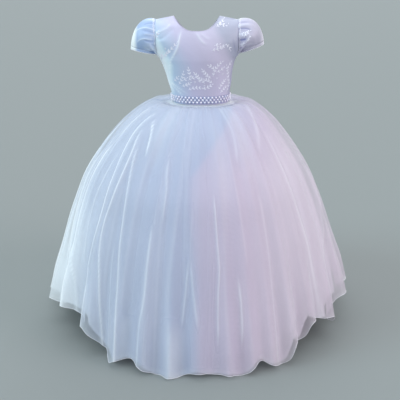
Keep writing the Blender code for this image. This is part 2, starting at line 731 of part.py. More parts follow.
def lace_spray(row, panel):
    """A raised spray of leaves that follows the bodice panel's outer surface."""
    outline = spray_outline(row)
    turn = Matrix.Rotation(-math.radians(row.heading), 2)
    bm = bmesh.new()
    flat = [bm.verts.new((*(turn @ p), 0)) for p in outline]
    edges = [bm.edges.new((a, b)) for a, b in zip(flat, flat[1:] + flat[:1])]
    bmesh.ops.triangle_fill(bm, edges=edges, use_beauty=True)
    bmesh.ops.recalc_face_normals(bm, faces=bm.faces)
    if sum(face.normal.z for face in bm.faces) < 0:
        bmesh.ops.reverse_faces(bm, faces=bm.faces)
    for vert in bm.verts:
        drop = row.drop - vert.co.y
        angle = angle_along(row.angle, drop, vert.co.x)
        vert.co = seat(panel, angle, drop, LACE_GAP)[0]
    mesh = bpy.data.meshes.new(row.name)
    bm.to_mesh(mesh)
    bm.free()
    thicken(add_object(row.name, mesh, material("lace", LACE)), LACE_WALL)


def main():
    for old in list(bpy.data.objects):
        bpy.data.objects.remove(old)
    dress = bpy.data.collections.new("tulle_dress")
    bpy.context.scene.collection.children.link(dress)
    bodice()
    neck_binding()
    sleeves()
    tulle_panels()
    underskirt()
    belt()
    placket()
    buttons()
    front = solid_surface("bodice_front")
    for row in SPRAYS:
        lace_spray(row, front)


main()
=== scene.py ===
"""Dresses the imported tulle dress: fine cloth, pearls, embroidery and buttons on its solids.

Metres, +Z up, front towards -Y. The origin is midway between the two neck points of the
shoulder seams. Heights are drops below it. Angles round the body are 0 at the centre front
and grow towards +X, and a skirt level is a row number of the SKIRT table.
"""

import logging
import math
from collections.abc import Callable, Sequence
from dataclasses import dataclass, field
from enum import Enum

import bpy
import numpy as np
from mathutils import Matrix, Vector


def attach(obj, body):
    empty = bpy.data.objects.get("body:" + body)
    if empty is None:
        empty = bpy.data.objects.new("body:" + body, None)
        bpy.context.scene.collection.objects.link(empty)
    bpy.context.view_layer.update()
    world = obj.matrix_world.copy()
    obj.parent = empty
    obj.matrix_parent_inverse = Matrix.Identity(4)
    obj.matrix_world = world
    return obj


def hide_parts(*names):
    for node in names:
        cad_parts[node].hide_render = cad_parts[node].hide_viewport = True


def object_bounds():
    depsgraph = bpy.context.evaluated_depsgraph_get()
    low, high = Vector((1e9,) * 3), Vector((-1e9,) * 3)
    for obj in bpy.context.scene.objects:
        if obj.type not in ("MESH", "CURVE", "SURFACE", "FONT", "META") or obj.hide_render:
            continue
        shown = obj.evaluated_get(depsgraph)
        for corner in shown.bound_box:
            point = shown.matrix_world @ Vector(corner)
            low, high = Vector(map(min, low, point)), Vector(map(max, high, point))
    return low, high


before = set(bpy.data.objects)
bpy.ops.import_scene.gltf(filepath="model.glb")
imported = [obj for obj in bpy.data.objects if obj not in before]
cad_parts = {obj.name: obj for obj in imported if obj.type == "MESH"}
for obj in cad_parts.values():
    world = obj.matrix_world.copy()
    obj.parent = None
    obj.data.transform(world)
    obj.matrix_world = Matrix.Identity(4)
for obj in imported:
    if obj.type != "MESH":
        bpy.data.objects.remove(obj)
CAD_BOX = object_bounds()

log = logging.getLogger("tulle_dress")

MM = 0.001

BODICE_WALL = 1.5 * MM
NECK_HALF = 0.077
NECK_DROP_FRONT = 0.044
NECK_DROP_BACK = 0.060
NECK_ROUNDNESS = 2.8
SHOULDER_HALF = 0.136
SHOULDER_DROP = 0.011
UNDERARM_DROP = 0.130
ARMHOLE_HALF_DEPTH = 0.042
SECTION_ROUNDNESS = 2.2
ARMHOLE_SHARPNESS = 8
WAIST_DROP = 0.277
SIDE_SEAM_ANGLE = 89.99
NECK_ANGLE = math.degrees(math.asin(NECK_HALF / SHOULDER_HALF))


@dataclass(frozen=True)
class Table:
    """A short table with named columns, read on a smooth curve through its rows."""

    columns: tuple[str, ...]
    rows: tuple[tuple[float, ...], ...]
    key: str | None = None

    def column(self, name: str) -> np.ndarray:
        """All values of one column."""
        return np.array([row[self.columns.index(name)] for row in self.rows], float)

    def at(self, name: str, where: np.ndarray | float) -> np.ndarray:
        """Reads a column between the rows.

        Args:
            name: the column to read.
            where: key values, or row numbers where the table has no key.

        Returns:
            The column's values there.
        """
        values = self.column(name)
        keys = self.column(self.key) if self.key else np.arange(len(values), dtype=float)
        last = len(keys) - 1
        order = np.arange(len(keys))
        low, high = np.maximum(order - 1, 0), np.minimum(order + 1, last)
        slopes = (values[high] - values[low]) / (keys[high] - keys[low])
        at = np.clip(where, keys[0], keys[-1])
        first = np.clip(np.searchsorted(keys, at, side="right") - 1, 0, last - 1)
        span = keys[first + 1] - keys[first]
        f = (at - keys[first]) / span
        rise = values[first + 1] - values[first]
        start, end = slopes[first] * span, slopes[first + 1] * span
        curve = f * f * (3 - 2 * f) * rise + f * (1 - f) * ((1 - f) * start - f * end)
        return values[first] + curve


BODICE = Table(
    ("drop", "half_width", "front_depth", "back_depth", "corner", "lean"),
    (
        (-0.010, 0.1365, -0.0250, -0.0250, 0.75, -0.0030),
        (0.000, 0.1360, 0.0000, 0.0000, 0.75, -0.0030),
        (0.020, 0.1340, 0.0400, 0.0420, 0.70, -0.0030),
        (0.045, 0.1335, 0.0620, 0.0650, 0.65, -0.0025),
        (0.070, 0.1335, 0.0750, 0.0780, 0.60, -0.0020),
        (0.100, 0.1325, 0.0840, 0.0845, 0.52, -0.0010),
        (0.130, 0.1265, 0.0880, 0.0860, 0.46, 0.0000),
        (0.151, 0.1175, 0.0875, 0.0850, 0.45, 0.0015),
        (0.184, 0.1085, 0.0850, 0.0810, 0.45, 0.0045),
        (0.211, 0.1040, 0.0825, 0.0770, 0.45, 0.0070),
        (0.242, 0.0970, 0.0800, 0.0735, 0.45, 0.0095),
        (0.277, 0.0930, 0.0785, 0.0725, 0.45, 0.0110),
        (0.300, 0.0925, 0.0780, 0.0720, 0.45, 0.0110),
    ),
    "drop",
)
# Flute is the share of each big fold's depth at a level, gather the height of waist gathers
SKIRT = Table(
    ("drop", "radius", "roundness", "lean", "flute", "gather"),
    (
        (0.2774, 0.0965, 0.790, 0.0110, 0.00, 0.0),
        (0.2790, 0.1100, 0.805, 0.0110, 0.02, 1.5),
        (0.2700, 0.1300, 0.820, 0.0105, 0.04, 4.0),
        (0.2680, 0.1680, 0.870, 0.0095, 0.10, 5.0),
        (0.2925, 0.2130, 0.920, 0.0075, 0.18, 4.5),
        (0.3330, 0.2590, 0.950, 0.0050, 0.25, 3.5),
        (0.3860, 0.3030, 0.970, 0.0030, 0.32, 2.5),
        (0.4480, 0.3470, 0.985, 0.0015, 0.38, 1.5),
        (0.5190, 0.3870, 1.000, 0.0000, 0.44, 1.0),
        (0.6010, 0.4200, 1.000, 0.0000, 0.50, 0.5),
        (0.6820, 0.4485, 1.000, 0.0000, 0.57, 0.0),
        (0.7630, 0.4730, 1.000, 0.0000, 0.66, 0.0),
        (0.8420, 0.4965, 1.000, 0.0000, 0.76, 0.0),
        (0.9220, 0.5200, 1.000, 0.0000, 0.88, 0.0),
        (1.0270, 0.5430, 1.000, 0.0000, 1.00, 0.0),
    ),
)
HEM_LEVEL = 14.0
LEVEL_STEP = 0.075
# One row for each big fold that flares at the hem: depth is half of crest to trough there
FLUTES = Table(
    ("angle", "depth", "rise", "pull"),
    (
        (-170, 0.020, 0.020, 0.000),
        (-154, 0.021, 0.026, 0.003),
        (-137, 0.024, 0.046, 0.008),
        (-121, 0.022, 0.058, 0.010),
        (-106, 0.024, 0.060, 0.004),
        (-91, 0.022, 0.056, 0.000),
        (-75, 0.021, 0.066, 0.006),
        (-59, 0.023, 0.082, 0.018),
        (-44, 0.025, 0.058, 0.018),
        (-30, 0.021, 0.020, 0.004),
        (-19, 0.013, 0.016, 0.000),
        (-9.5, 0.018, 0.000, 0.000),
        (0.5, 0.010, 0.016, 0.000),
        (10.5, 0.012, 0.008, 0.000),
        (18.5, 0.010, 0.015, 0.000),
        (26.5, 0.013, 0.014, 0.000),
        (34.5, 0.013, 0.026, 0.003),
        (45, 0.024, 0.062, 0.016),
        (59, 0.025, 0.076, 0.010),
        (75, 0.023, 0.062, 0.004),
        (91, 0.022, 0.090, 0.000),
        (106, 0.024, 0.070, 0.004),
        (121, 0.022, 0.060, 0.010),
        (137, 0.024, 0.044, 0.008),
        (154, 0.021, 0.024, 0.003),
        (170, 0.020, 0.018, 0.000),
    ),
)
# How much higher than its flutes the cut edge of the front net hangs, all uneven, in metres
HEM_LIFTS = Table(
    ("angle", "lift"),
    (
        (-180, 0.000), (-100, 0.000), (-90, 0.006), (-80, 0.010), (-75, 0.015), (-66, 0.020),
        (-59, 0.036), (-54, 0.036), (-49, 0.024), (-46, 0.030), (-42, 0.018), (-38, 0.000),
        (-32, -0.018), (-30, -0.003), (-26, 0.015), (-21, 0.013), (-18, 0.000), (-14, -0.010),
        (-10, -0.010), (-7, -0.006), (-4, 0.000), (-1, 0.005), (4, 0.000), (8, 0.000),
        (12, -0.006), (14, -0.014), (17, -0.006), (19.5, 0.014), (22.5, 0.024), (25, 0.010),
        (27, 0.000), (30, -0.014), (33, -0.006), (34.5, 0.026), (36, 0.040), (38, 0.028),
        (40, 0.010), (42.5, 0.010), (44, 0.038), (47, 0.042), (51, 0.033), (55, 0.012),
        (58, 0.004), (61, -0.010), (64, -0.028), (67, -0.018), (70, 0.026), (72, 0.040),
        (76, 0.042), (82, 0.028), (90, 0.004), (100, 0.000), (180, 0.000),
    ),
    "angle",
)
RISE_START = 0.45
RISE_POWER = 1.6
TULLE_WALL = 1.6 * MM
# How far the net sinks next to the waist, from which level to which, with the levels of its
# fade, and the share of it that the layers below follow
SETTLED = 6 * MM
SETTLED_FROM = 1.2
SETTLED_TO = 6.5
SETTLED_FADE = 4
SETTLED_BELOW = 0.7
# Share of each big fold's depth that the net keeps, down to the level where it grows to all
SOFTENED = 0.45
FULL_FROM = 10
# The hem's lowest place, below the last level
HEM_BELOW = 1 * MM


class Slot(Enum):
    """The record's material slots."""

    SATIN = "satin"
    TULLE = "tulle"
    LINING = "lining"
    LACE = "lace"
    PEARL = "pearl"


class Held(Enum):
    """How a cloth piece is held, in the frame's own words."""

    GATHERED = "gathered"
    STRETCHED = "stretched"


class Side(Enum):
    """The two sides, as the viewer sees them from the front."""

    LEFT = -1
    RIGHT = 1


# Materials

Socket = bpy.types.NodeSocket
Inputs = dict[str | int, object]
# Metres between the stripes of a wave texture of scale 1
WAVE_STEP = 0.314


def linear(hex_colour: str) -> tuple[float, float, float, float]:
    """Turns an sRGB hex colour to linear RGBA."""
    parts = [int(hex_colour[i : i + 2], 16) / 255 for i in (1, 3, 5)]
    red, green, blue = (p / 12.92 if p <= 0.04045 else ((p + 0.055) / 1.055) ** 2.4 for p in parts)
    return red, green, blue, 1.0


class Shading:
    """A material in the making. Each of its methods adds a node and returns that one's output."""

    def __init__(self, name: str) -> None:
        """Starts a material with a plain shader."""
        self.made = bpy.data.materials.new(name)
        self.made.use_nodes = True
        self.tree = self.made.node_tree

    def feed(self, node: bpy.types.Node, inputs: Inputs) -> None:
        """Gives a node's inputs their values, or links them to the outputs that feed them."""
        for socket, value in inputs.items():
            if isinstance(value, bpy.types.NodeSocket):
                self.tree.links.new(value, node.inputs[socket])
            else:
                node.inputs[socket].default_value = value

    def node(self, kind: str, inputs: Inputs, output: str | int = 0, **settings: object) -> Socket:
        """Adds a node of any kind.

        Args:
            kind: its type's name without ShaderNode.
            inputs: socket name or number to its value, or to the output that feeds it.
            output: the name or number of the output that is wanted.
            settings: the node's own properties.

        Returns:
            The output.
        """
        made = self.tree.nodes.new(f"ShaderNode{kind}")
        for name, value in settings.items():
            setattr(made, name, value)
        self.feed(made, inputs)
        return made.outputs[output]

    def place(self, space: str) -> Socket:
        """Places on the piece in metres, as Object, or on the flat cloth, as UV."""
        return self.node("TexCoord", {}, space)

    def fold(self) -> Socket:
        """Fold attribute: doubled net's white and painted highlight and light above 0, painted crease shade
        below 0.
        """
        return self.node("Attribute", {}, "Fac", attribute_name="fold")

    def scaled(self, value: Socket, factor: float, offset: Socket | float) -> Socket:
        """A value times a factor, plus an offset."""
        return self.node("Math", {0: value, 1: factor, 2: offset}, operation="MULTIPLY_ADD")

    def mix(self, share: Socket, base: Socket, colour: str, blend: str = "MIX") -> Socket:
        """A colour input with a share of an sRGB hex colour over it."""
        inputs = {0: share, 6: base, 7: linear(colour)}
        return self.node("Mix", inputs, 2, data_type="RGBA", blend_type=blend)

    def ramp(self, share: Socket, stops: Sequence[tuple[float, str]]) -> Socket:
        """Colour from a ramp of stops, each a place from 0 to 1 and an sRGB hex colour."""
        output = self.node("ValToRGB", {0: share})
        elements = output.node.color_ramp.elements
        while len(elements) < len(stops):
            elements.new(0.5)
        for element, (place, _) in zip(elements, stops):
            element.position = place
        for element, (_, colour) in zip(elements, stops):
            element.color = linear(colour)
        return output

    def noise(self, place: Socket, scale: float, detail: float) -> Socket:
        """Soft noise, with scale features a metre."""
        return self.node("TexNoise", {"Vector": place, "Scale": scale, "Detail": detail})

    def stripes(self, place: Socket, step: float, distortion: float, detail: float = 2.0) -> Socket:
        """Diagonal stripes, a step apart."""
        inputs = {"Vector": place, "Scale": WAVE_STEP / step, "Distortion": distortion, "Detail": detail}
        return self.node("TexWave", inputs, bands_direction="DIAGONAL")

    def bump(self, height: Socket, strength: float, distance: float, below: Socket | None = None) -> Socket:
        """A bump of a height over another one."""
        inputs = {"Height": height, "Strength": strength, "Distance": distance}
        return self.node("Bump", inputs | ({"Normal": below} if below else {}))

    def finish(self, inputs: Inputs) -> bpy.types.Material:
        """Feeds the shader and returns the material."""
        self.feed(self.tree.nodes["Principled BSDF"], inputs)
        return self.made


@dataclass(frozen=True)
class ColourWithPaintedLight:
    """The cloth's pale colour with painted light on it: from a painted cool light on the viewer's
    left to a painted warm one on the right, as thin white cloth shows between cool and warm
    light. Reach is the distance from the middle to the last stop, drift how far a soft cloud
    pattern of a given scale moves the colour along, and tilt how far each metre up moves it back,
    above a middle height: painted light from above, and painted shade when tilt is below 0."""

    stops: tuple[tuple[float, str], ...]
    reach: float
    drift: float
    cloud: float
    tilt: float = 0.0
    middle: float = 0.0

    def add(self, shading: Shading) -> Socket:
        """Adds the nodes of the colour and its painted light, and returns their colour output."""
        place = shading.place("Object")
        cloud = shading.noise(place, self.cloud, 1.0)
        across = shading.scaled(cloud, self.drift, shading.node("SeparateXYZ", {0: place}, "X"))
        height = shading.node("SeparateXYZ", {0: place}, "Z")
        height = shading.node("Math", {0: height, 1: self.middle}, operation="MAXIMUM")
        moved = shading.scaled(height, -self.tilt, across)
        middle = self.drift / 2 - self.tilt * self.middle
        share = shading.node("MapRange", {0: moved, 1: middle - self.reach, 2: middle + self.reach})
        return shading.ramp(share, self.stops)


# Painted light on pale cloth: near white on the viewer's left where the cool light falls, blue then lilac
# to pink towards the right, and whiter higher up
SKIRT_COLOUR_AND_PAINTED_LIGHT = ColourWithPaintedLight(
    (
        (0.00, "#FAFDFF"),
        (0.10, "#F0F6FD"),
        (0.18, "#D2DAEA"),
        (0.30, "#C4CCDF"),
        (0.475, "#BCC3DA"),
        (0.495, "#C8C5DA"),
        (0.62, "#D5CADC"),
        (0.75, "#DFD5E2"),
        (1.00, "#E3D7E4"),
    ),
    0.55,
    0.06,
    3.0,
    0.70,
    -0.45,
)
# Painted light on pale satin: white on the viewer's left side, lilac towards the right, and as painted
# shade greyer at the far right edge and less white higher up
BODICE_COLOUR_AND_PAINTED_LIGHT = ColourWithPaintedLight(
    (
        (0.06, "#F6FCFF"),
        (0.18, "#D6E8F2"),
        (0.225, "#B6C8DF"),
        (0.45, "#C0BDD7"),
        (0.62, "#BEB9D1"),
        (0.78, "#C6C0D8"),
        (0.90, "#C1BDD3"),
        (1.00, "#ACAFC3"),
    ),
    0.135,
    0.02,
    9.0,
    -0.55,
    -0.15,
)
# Painted light on pale satin: a white painted highlight on each sleeve's outer edge, blue on the viewer's
# left sleeve and lilac on the right one
SLEEVE_COLOUR_AND_PAINTED_LIGHT = ColourWithPaintedLight(
    (
        (0.040, "#F8FDFF"),
        (0.066, "#A4BADC"),
        (0.30, "#A4B9DA"),
        (0.70, "#C6C1DA"),
        (0.95, "#B8B6C8"),
        (0.985, "#E6E2EE"),
    ),
    0.225,
    0.015,
    9.0,
)
# Painted shade: the belt band's dark colour stands for the shade between its pearls, lighter on the
# viewer's left as painted light
BELT_BAND_PAINTED_SHADE_AND_LIGHT = ColourWithPaintedLight(((0.0, "#D6E2EC"), (0.3, "#9AA4C4"), (1.0, "#9C9BBC")), 0.12, 0.03, 9.0)
# Painted crease shade: how much darker cloth looks deep in a crease, as a colour to multiply by
PAINTED_CREASE_SHADE = "#8E95C4"
# Painted highlight and painted light on satin. On net: the white of doubled net along folds and at the hem,
# and painted light next to the waist
SATIN_PAINTED_HIGHLIGHT = "#F2FAFF"
NET_DOUBLED_WHITE_AND_PAINTED_LIGHT = "#F7FCFF"


@dataclass(frozen=True)
class NetFinish:
    """Nylon bobbin net, stiffened and sheer. Its thread takes the light as a soft white haze,
    and where a fold doubles the net it shows as a whiter, thicker line. Next to the waist the
    same whitening is painted light, and its colour carries painted light from the sides.

    Opacity is the share of light that a flat layer stops, fold_opacity what a fold adds. The
    real net's cells are about 1.5 mm; they are drawn at cell size, the least that shows."""

    name: str
    tint: ColourWithPaintedLight
    opacity: float
    fold_opacity: float
    cell: float = 3.6 * MM
    unevenness: float = 0.35
    thread: tuple[float, float] = (0.04, 0.22)
    thread_opacity: float = 0.14

    def make(self) -> bpy.types.Material:
        """Makes the material."""
        shading = Shading(self.name)
        fold = shading.fold()
        cells = shading.node(
            "TexVoronoi",
            {"Vector": shading.place("UV"), "Scale": 1 / self.cell, "Randomness": self.unevenness},
            feature="DISTANCE_TO_EDGE",
            voronoi_dimensions="2D",
        )
        full, none = self.thread
        thread = shading.node("MapRange", {0: cells, 1: full, 2: none, 3: self.thread_opacity, 4: 0.0})
        haze = shading.scaled(fold, self.fold_opacity, self.opacity)
        return shading.finish({
            # The fold attribute whitens doubled net and paints light next to the waist
            "Base Color": shading.mix(fold, self.tint.add(shading), NET_DOUBLED_WHITE_AND_PAINTED_LIGHT),
            "Alpha": shading.node("Math", {0: haze, 1: thread}, operation="ADD", use_clamp=True),
            "Roughness": 0.62,
            "Sheen Weight": 0.6,
            "Sheen Roughness": 0.35,
        })


@dataclass(frozen=True)
class SatinFinish:
    """Woven polyester duchess satin. Its long floats give a broad soft shine, broken by a fine
    diagonal twill and by faint ripples where the cloth is eased. Its colour holds painted shade
    deep in creases and painted highlight and painted light along folds."""

    name: str
    tint: ColourWithPaintedLight
    roughness: float
    thread: float = 1.6 * MM
    ripple: float = 0.35
    ripple_scale: float = 45.0

    def make(self) -> bpy.types.Material:
        """Makes the material."""
        shading = Shading(self.name)
        fold, place = shading.fold(), shading.place("UV")
        # Painted crease shade where the fold attribute is below 0, painted highlight and light where it is
        # above
        sunk = shading.node("Math", {0: fold, 1: -1.0}, operation="MULTIPLY")
        deep = shading.mix(sunk, self.tint.add(shading), PAINTED_CREASE_SHADE, "MULTIPLY")
        weave = shading.bump(shading.stripes(place, self.thread, 0.4, 1.0), 0.12, 0.3 * MM)
        ripples = shading.noise(place, self.ripple_scale, 2.0)
        return shading.finish({
            "Base Color": shading.mix(fold, deep, SATIN_PAINTED_HIGHLIGHT),
            "Normal": shading.bump(ripples, self.ripple, 2 * MM, weave),
            "Roughness": self.roughness,
            "Sheen Weight": 0.2,
            "Sheen Roughness": 0.35,
        })


@dataclass(frozen=True)
class CordFinish:
    """Rayon embroidery cord, machine-laid and lightly glossy, with the ply of its twist drawn
    as a fine bump and as painted highlight: stripes from its colour to a lighter one."""

    name: str
    colour: str
    # Colour of the painted highlight along each ply
    light: str = "#FBFAFF"
    ply: float = 1.2 * MM

    def make(self) -> bpy.types.Material:
        """Makes the material."""
        shading = Shading(self.name)
        twist = shading.stripes(shading.place("Object"), self.ply, 1.5)
        return shading.finish({
            # Painted highlight along the ply: each twist runs from the colour to the lighter one
            "Base Color": shading.ramp(twist, ((0.0, self.colour), (1.0, self.light))),
            "Normal": shading.bump(twist, 0.3, 0.3 * MM),
            "Roughness": 0.45,
        })


@dataclass(frozen=True)
class PearlFinish:
    """Imitation pearl: a moulded plastic bead with a nacre lacquer, so its gloss has a soft
    coat and its body colour changes a little from bead to bead."""

    name: str
    lots: float = 60.0

    def make(self) -> bpy.types.Material:
        """Makes the material."""
        shading = Shading(self.name)
        lots = shading.noise(shading.place("Object"), self.lots, 0.0)
        return shading.finish({
            "Base Color": shading.ramp(lots, ((0.3, "#D9DDF2"), (0.5, "#F4F2FA"), (0.7, "#E9E2F0"))),
            "Roughness": 0.28,
            "Coat Weight": 0.7,
            "Coat Roughness": 0.12,
        })


@dataclass(frozen=True)
class FloorFinish:
    """Matt painted studio floor with a barely uneven roller texture."""

    name: str
    colour: str
    grain: float = 220.0

    def make(self) -> bpy.types.Material:
        """Makes the material."""
        shading = Shading(self.name)
        paint = shading.noise(shading.place("Object"), self.grain, 2.0)
        return shading.finish({
            "Base Color": linear(self.colour),
            "Normal": shading.bump(paint, 0.05, MM),
            "Roughness": 0.9,
        })


# Shared shapes

# Points of a mesh that are nearer than this are one
SAME_PLACE = 0.01 * MM


def mesh_piece(name: str, points: Sequence, faces: Sequence) -> bpy.types.Object:
    """Makes a smooth mesh object from points and faces and links it to the scene."""
    mesh = bpy.data.meshes.new(name)
    mesh.from_pydata(points, [], faces)
    mesh.shade_smooth()
    made = bpy.data.objects.new(name, mesh)
    bpy.context.scene.collection.objects.link(made)
    return made


def grid_faces(rows: int, columns: int, ring: bool) -> np.ndarray:
    """Quads of a loft, turned so that a ring which runs with the angle faces outwards."""
    index = np.arange(rows * columns).reshape(rows, columns)
    right = np.roll(index, -1, axis=1)
    if not ring:
        index, right = index[:, :-1], right[:, :-1]
    quads = np.stack([index[:-1], right[:-1], right[1:], index[1:]], axis=-1)
    return quads.reshape(-1, 4)


def corner_places(rows: int, columns: int, ring: bool, uv: np.ndarray) -> np.ndarray:
    """The flat place of each quad's corners, in the order of grid_faces."""
    last = columns if ring else columns - 1
    low, high = uv[:-1], uv[1:]
    corners = [low[:, :last], low[:, 1 : last + 1], high[:, 1 : last + 1], high[:, :last]]
    return np.stack(corners, axis=2).reshape(-1, 2)


@dataclass
class Loft:
    """A cloth surface through rows of points, from its lower edge up.

    Points is rows by columns by 3. Uv is the flat place of each point in metres, with one more
    column on a ring. Inner, where it is given, closes the surface to a thin shell."""

    name: str
    points: np.ndarray
    uv: np.ndarray
    fold: np.ndarray | None = None
    inner: np.ndarray | None = None
    ring: bool = False

    def build(self) -> bpy.types.Object:
        """Makes the mesh object, smooth, with its UV map and its fold attribute."""
        rows, columns = self.points.shape[:2]
        faces = grid_faces(rows, columns, self.ring)
        places = corner_places(rows, columns, self.ring, self.uv)
        points = self.points.reshape(-1, 3)
        fold = np.zeros(rows * columns) if self.fold is None else self.fold.reshape(-1)
        if self.inner is not None:
            count = len(points)
            rim, rim_places = self.rim_faces(count)
            faces = np.concatenate([faces, faces[:, ::-1] + count, rim])
            places = np.concatenate([places, places.reshape(-1, 4, 2)[:, ::-1].reshape(-1, 2), rim_places])
            points = np.concatenate([points, self.inner.reshape(-1, 3)])
            fold = np.concatenate([fold, np.zeros(count)])
        made = mesh_piece(self.name, points.tolist(), faces.tolist())
        uv = made.data.uv_layers.new(name="UVMap").uv
        uv.foreach_set("vector", places.astype(np.float32).reshape(-1))
        folds = made.data.attributes.new("fold", "FLOAT", "POINT").data
        folds.foreach_set("value", fold.astype(np.float32))
        return made

    def rim_faces(self, count: int) -> tuple[np.ndarray, np.ndarray]:
        """The quads round the open edges, between the outer points and the inner ones."""
        rows, columns = self.points.shape[:2]
        index = np.arange(rows * columns).reshape(rows, columns)
        edges = []
        for edge in (index[0], index[-1][::-1]):
            ahead = np.roll(edge, -1) if self.ring else edge[1:]
            here = edge if self.ring else edge[:-1]
            edges.append(np.stack([ahead, here, here + count, ahead + count], axis=-1))
        if not self.ring:
            for edge in (index[::-1, 0], index[:, -1]):
                here, ahead = edge[:-1], edge[1:]
                edges.append(np.stack([ahead, here, here + count, ahead + count], axis=-1))
        faces = np.concatenate(edges)
        uv = self.uv[:, :columns].reshape(-1, 2)
        return faces, uv[faces % count].reshape(-1, 2)


def flat_places(points: np.ndarray, ring: bool) -> np.ndarray:
    """Lays a loft's points out flat: along its widest row, and up its middle column."""
    around = np.concatenate([points, points[:, :1]], axis=1) if ring else points
    steps = np.linalg.norm(np.diff(around, axis=1), axis=2).max(axis=0)
    along = np.concatenate([[0], np.cumsum(steps)])
    middle = points[:, points.shape[1] // 2]
    up = np.concatenate([[0], np.cumsum(np.linalg.norm(np.diff(middle, axis=0), axis=1))])
    wide, high = np.meshgrid(along, up)
    return np.stack([wide, high], axis=-1)


@dataclass(frozen=True)
class Cord:
    """A thread, cord or rolled edge that follows points."""

    points: np.ndarray
    closed: bool = False


def lay_cords(name: str, cords: Sequence[Cord], radius: float, resolution: int = 1) -> bpy.types.Object:
    """Makes one mesh of round cords.

    Args:
        name: the piece's name.
        cords: the lines that they follow.
        radius: half a cord's thickness.
        resolution: 0 gives 4 sides, 1 gives 6, 2 gives 8.

    Returns:
        The mesh object.
    """
    curve = bpy.data.curves.new(name, "CURVE")
    curve.dimensions = "3D"
    for cord in cords:
        line = curve.splines.new("POLY")
        line.points.add(len(cord.points) - 1)
        line.points.foreach_set("co", np.c_[cord.points, np.ones(len(cord.points))].reshape(-1))
        line.use_cyclic_u = cord.closed
    curve.bevel_depth = radius
    curve.bevel_resolution = resolution
    curve.use_fill_caps = True
    made = bpy.data.objects.new(name, curve)
    bpy.context.scene.collection.objects.link(made)
    only(made)
    bpy.ops.object.convert(target="MESH")
    made = bpy.context.view_layer.objects.active
    made.data.shade_smooth()
    return made


def sew_patches(name: str, patches: Sequence[np.ndarray]) -> bpy.types.Object:
    """Makes one smooth mesh of many patches of stitching, each rows by columns of points."""
    points, faces = [], []
    for patch in patches:
        faces += (grid_faces(*patch.shape[:2], False) + len(points)).tolist()
        points += patch.reshape(-1, 3).tolist()
    made = mesh_piece(name, points, faces)
    only(made)
    bpy.ops.object.mode_set(mode="EDIT")
    bpy.ops.mesh.select_all(action="SELECT")
    bpy.ops.mesh.remove_doubles(threshold=SAME_PLACE)
    bpy.ops.object.mode_set(mode="OBJECT")
    return made


def sink_faces(
    made: bpy.types.Object, picked: Callable[[Vector], bool], width: float, depth: float
) -> None:
    """Insets the faces whose centres are picked and moves them out by a depth."""
    only(made)
    bpy.ops.object.mode_set(mode="EDIT")
    bpy.ops.mesh.select_mode(type="FACE")
    bpy.ops.mesh.select_all(action="DESELECT")
    bpy.ops.object.mode_set(mode="OBJECT")
    for face in made.data.polygons:
        face.select = picked(face.center)
    bpy.ops.object.mode_set(mode="EDIT")
    bpy.ops.mesh.inset(thickness=width, depth=depth)
    bpy.ops.object.mode_set(mode="OBJECT")


def only(made: bpy.types.Object) -> None:
    """Selects one object and nothing else."""
    bpy.ops.object.select_all(action="DESELECT")
    made.select_set(True)
    bpy.context.view_layer.objects.active = made


def finish_piece(
    made: bpy.types.Object, surface: bpy.types.Material, nodes: Sequence[str]
) -> bpy.types.Object:
    """Gives a piece its material, its body and the solids that it stands for."""
    made.data.materials.clear()
    made.data.materials.append(surface)
    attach(made, "root")
    if nodes:
        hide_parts(*nodes)
    faces = made.data.polygons
    log.info("%s: %d faces, %.3f m2", made.name, len(faces), sum(face.area for face in faces))
    return made


def tile(pattern: bpy.types.Object, name: str, places: np.ndarray, turns: np.ndarray) -> bpy.types.Object:
    """Copies a small piece to many places, in one mesh.

    Args:
        pattern: the piece to copy, which is removed.
        name: the new piece's name.
        places: the copies' centres, n by 3.
        turns: the copies' rotation matrices, n by 3 by 3.

    Returns:
        The mesh object with all the copies.
    """
    source = pattern.data
    points = np.zeros(len(source.vertices) * 3)
    source.vertices.foreach_get("co", points)
    points = points.reshape(-1, 3)
    faces = [list(face.vertices) for face in source.polygons]
    all_points = np.einsum("nij,kj->nki", turns, points) + places[:, None]
    all_faces = [[i + k * len(points) for i in face] for k in range(len(places)) for face in faces]
    bpy.data.objects.remove(pattern)
    return mesh_piece(name, all_points.reshape(-1, 3).tolist(), all_faces)


def turns_to(outward: np.ndarray, upward: np.ndarray) -> np.ndarray:
    """Rotation matrices that turn +Z to the outward directions and +Y near the upward ones."""
    z = outward / np.linalg.norm(outward, axis=-1, keepdims=True)
    x = np.cross(upward, z)
    x /= np.linalg.norm(x, axis=-1, keepdims=True)
    return np.stack([x, np.cross(z, x), z], axis=-1)


def wavy(turn: np.ndarray, knots: int, seed: int) -> np.ndarray:
    """Smooth uneven heights from -1 to 1 round a full turn.

    Args:
        turn: places as shares of the turn.
        knots: how many random heights the turn has.
        seed: what picks them.

    Returns:
        The heights.
    """
    heights = np.random.default_rng(seed).uniform(-1, 1, knots)
    at = (turn % 1.0) * knots
    first = np.floor(at).astype(int)
    f = at - first
    f = f * f * (3 - 2 * f)
    return heights[first % knots] * (1 - f) + heights[(first + 1) % knots] * f


def soft_step(x: np.ndarray) -> np.ndarray:
    """Rises smoothly from 0 to 1."""
    x = np.clip(x, 0, 1)
    return x * x * (3 - 2 * x)


# How broad a fold's soft and fine edge lines are, as shares of its own breadth: doubled net's white on the
# skirt, painted highlight and painted crease shade on satin
SOFT_LINE = 1.4
FINE_LINE = 0.4


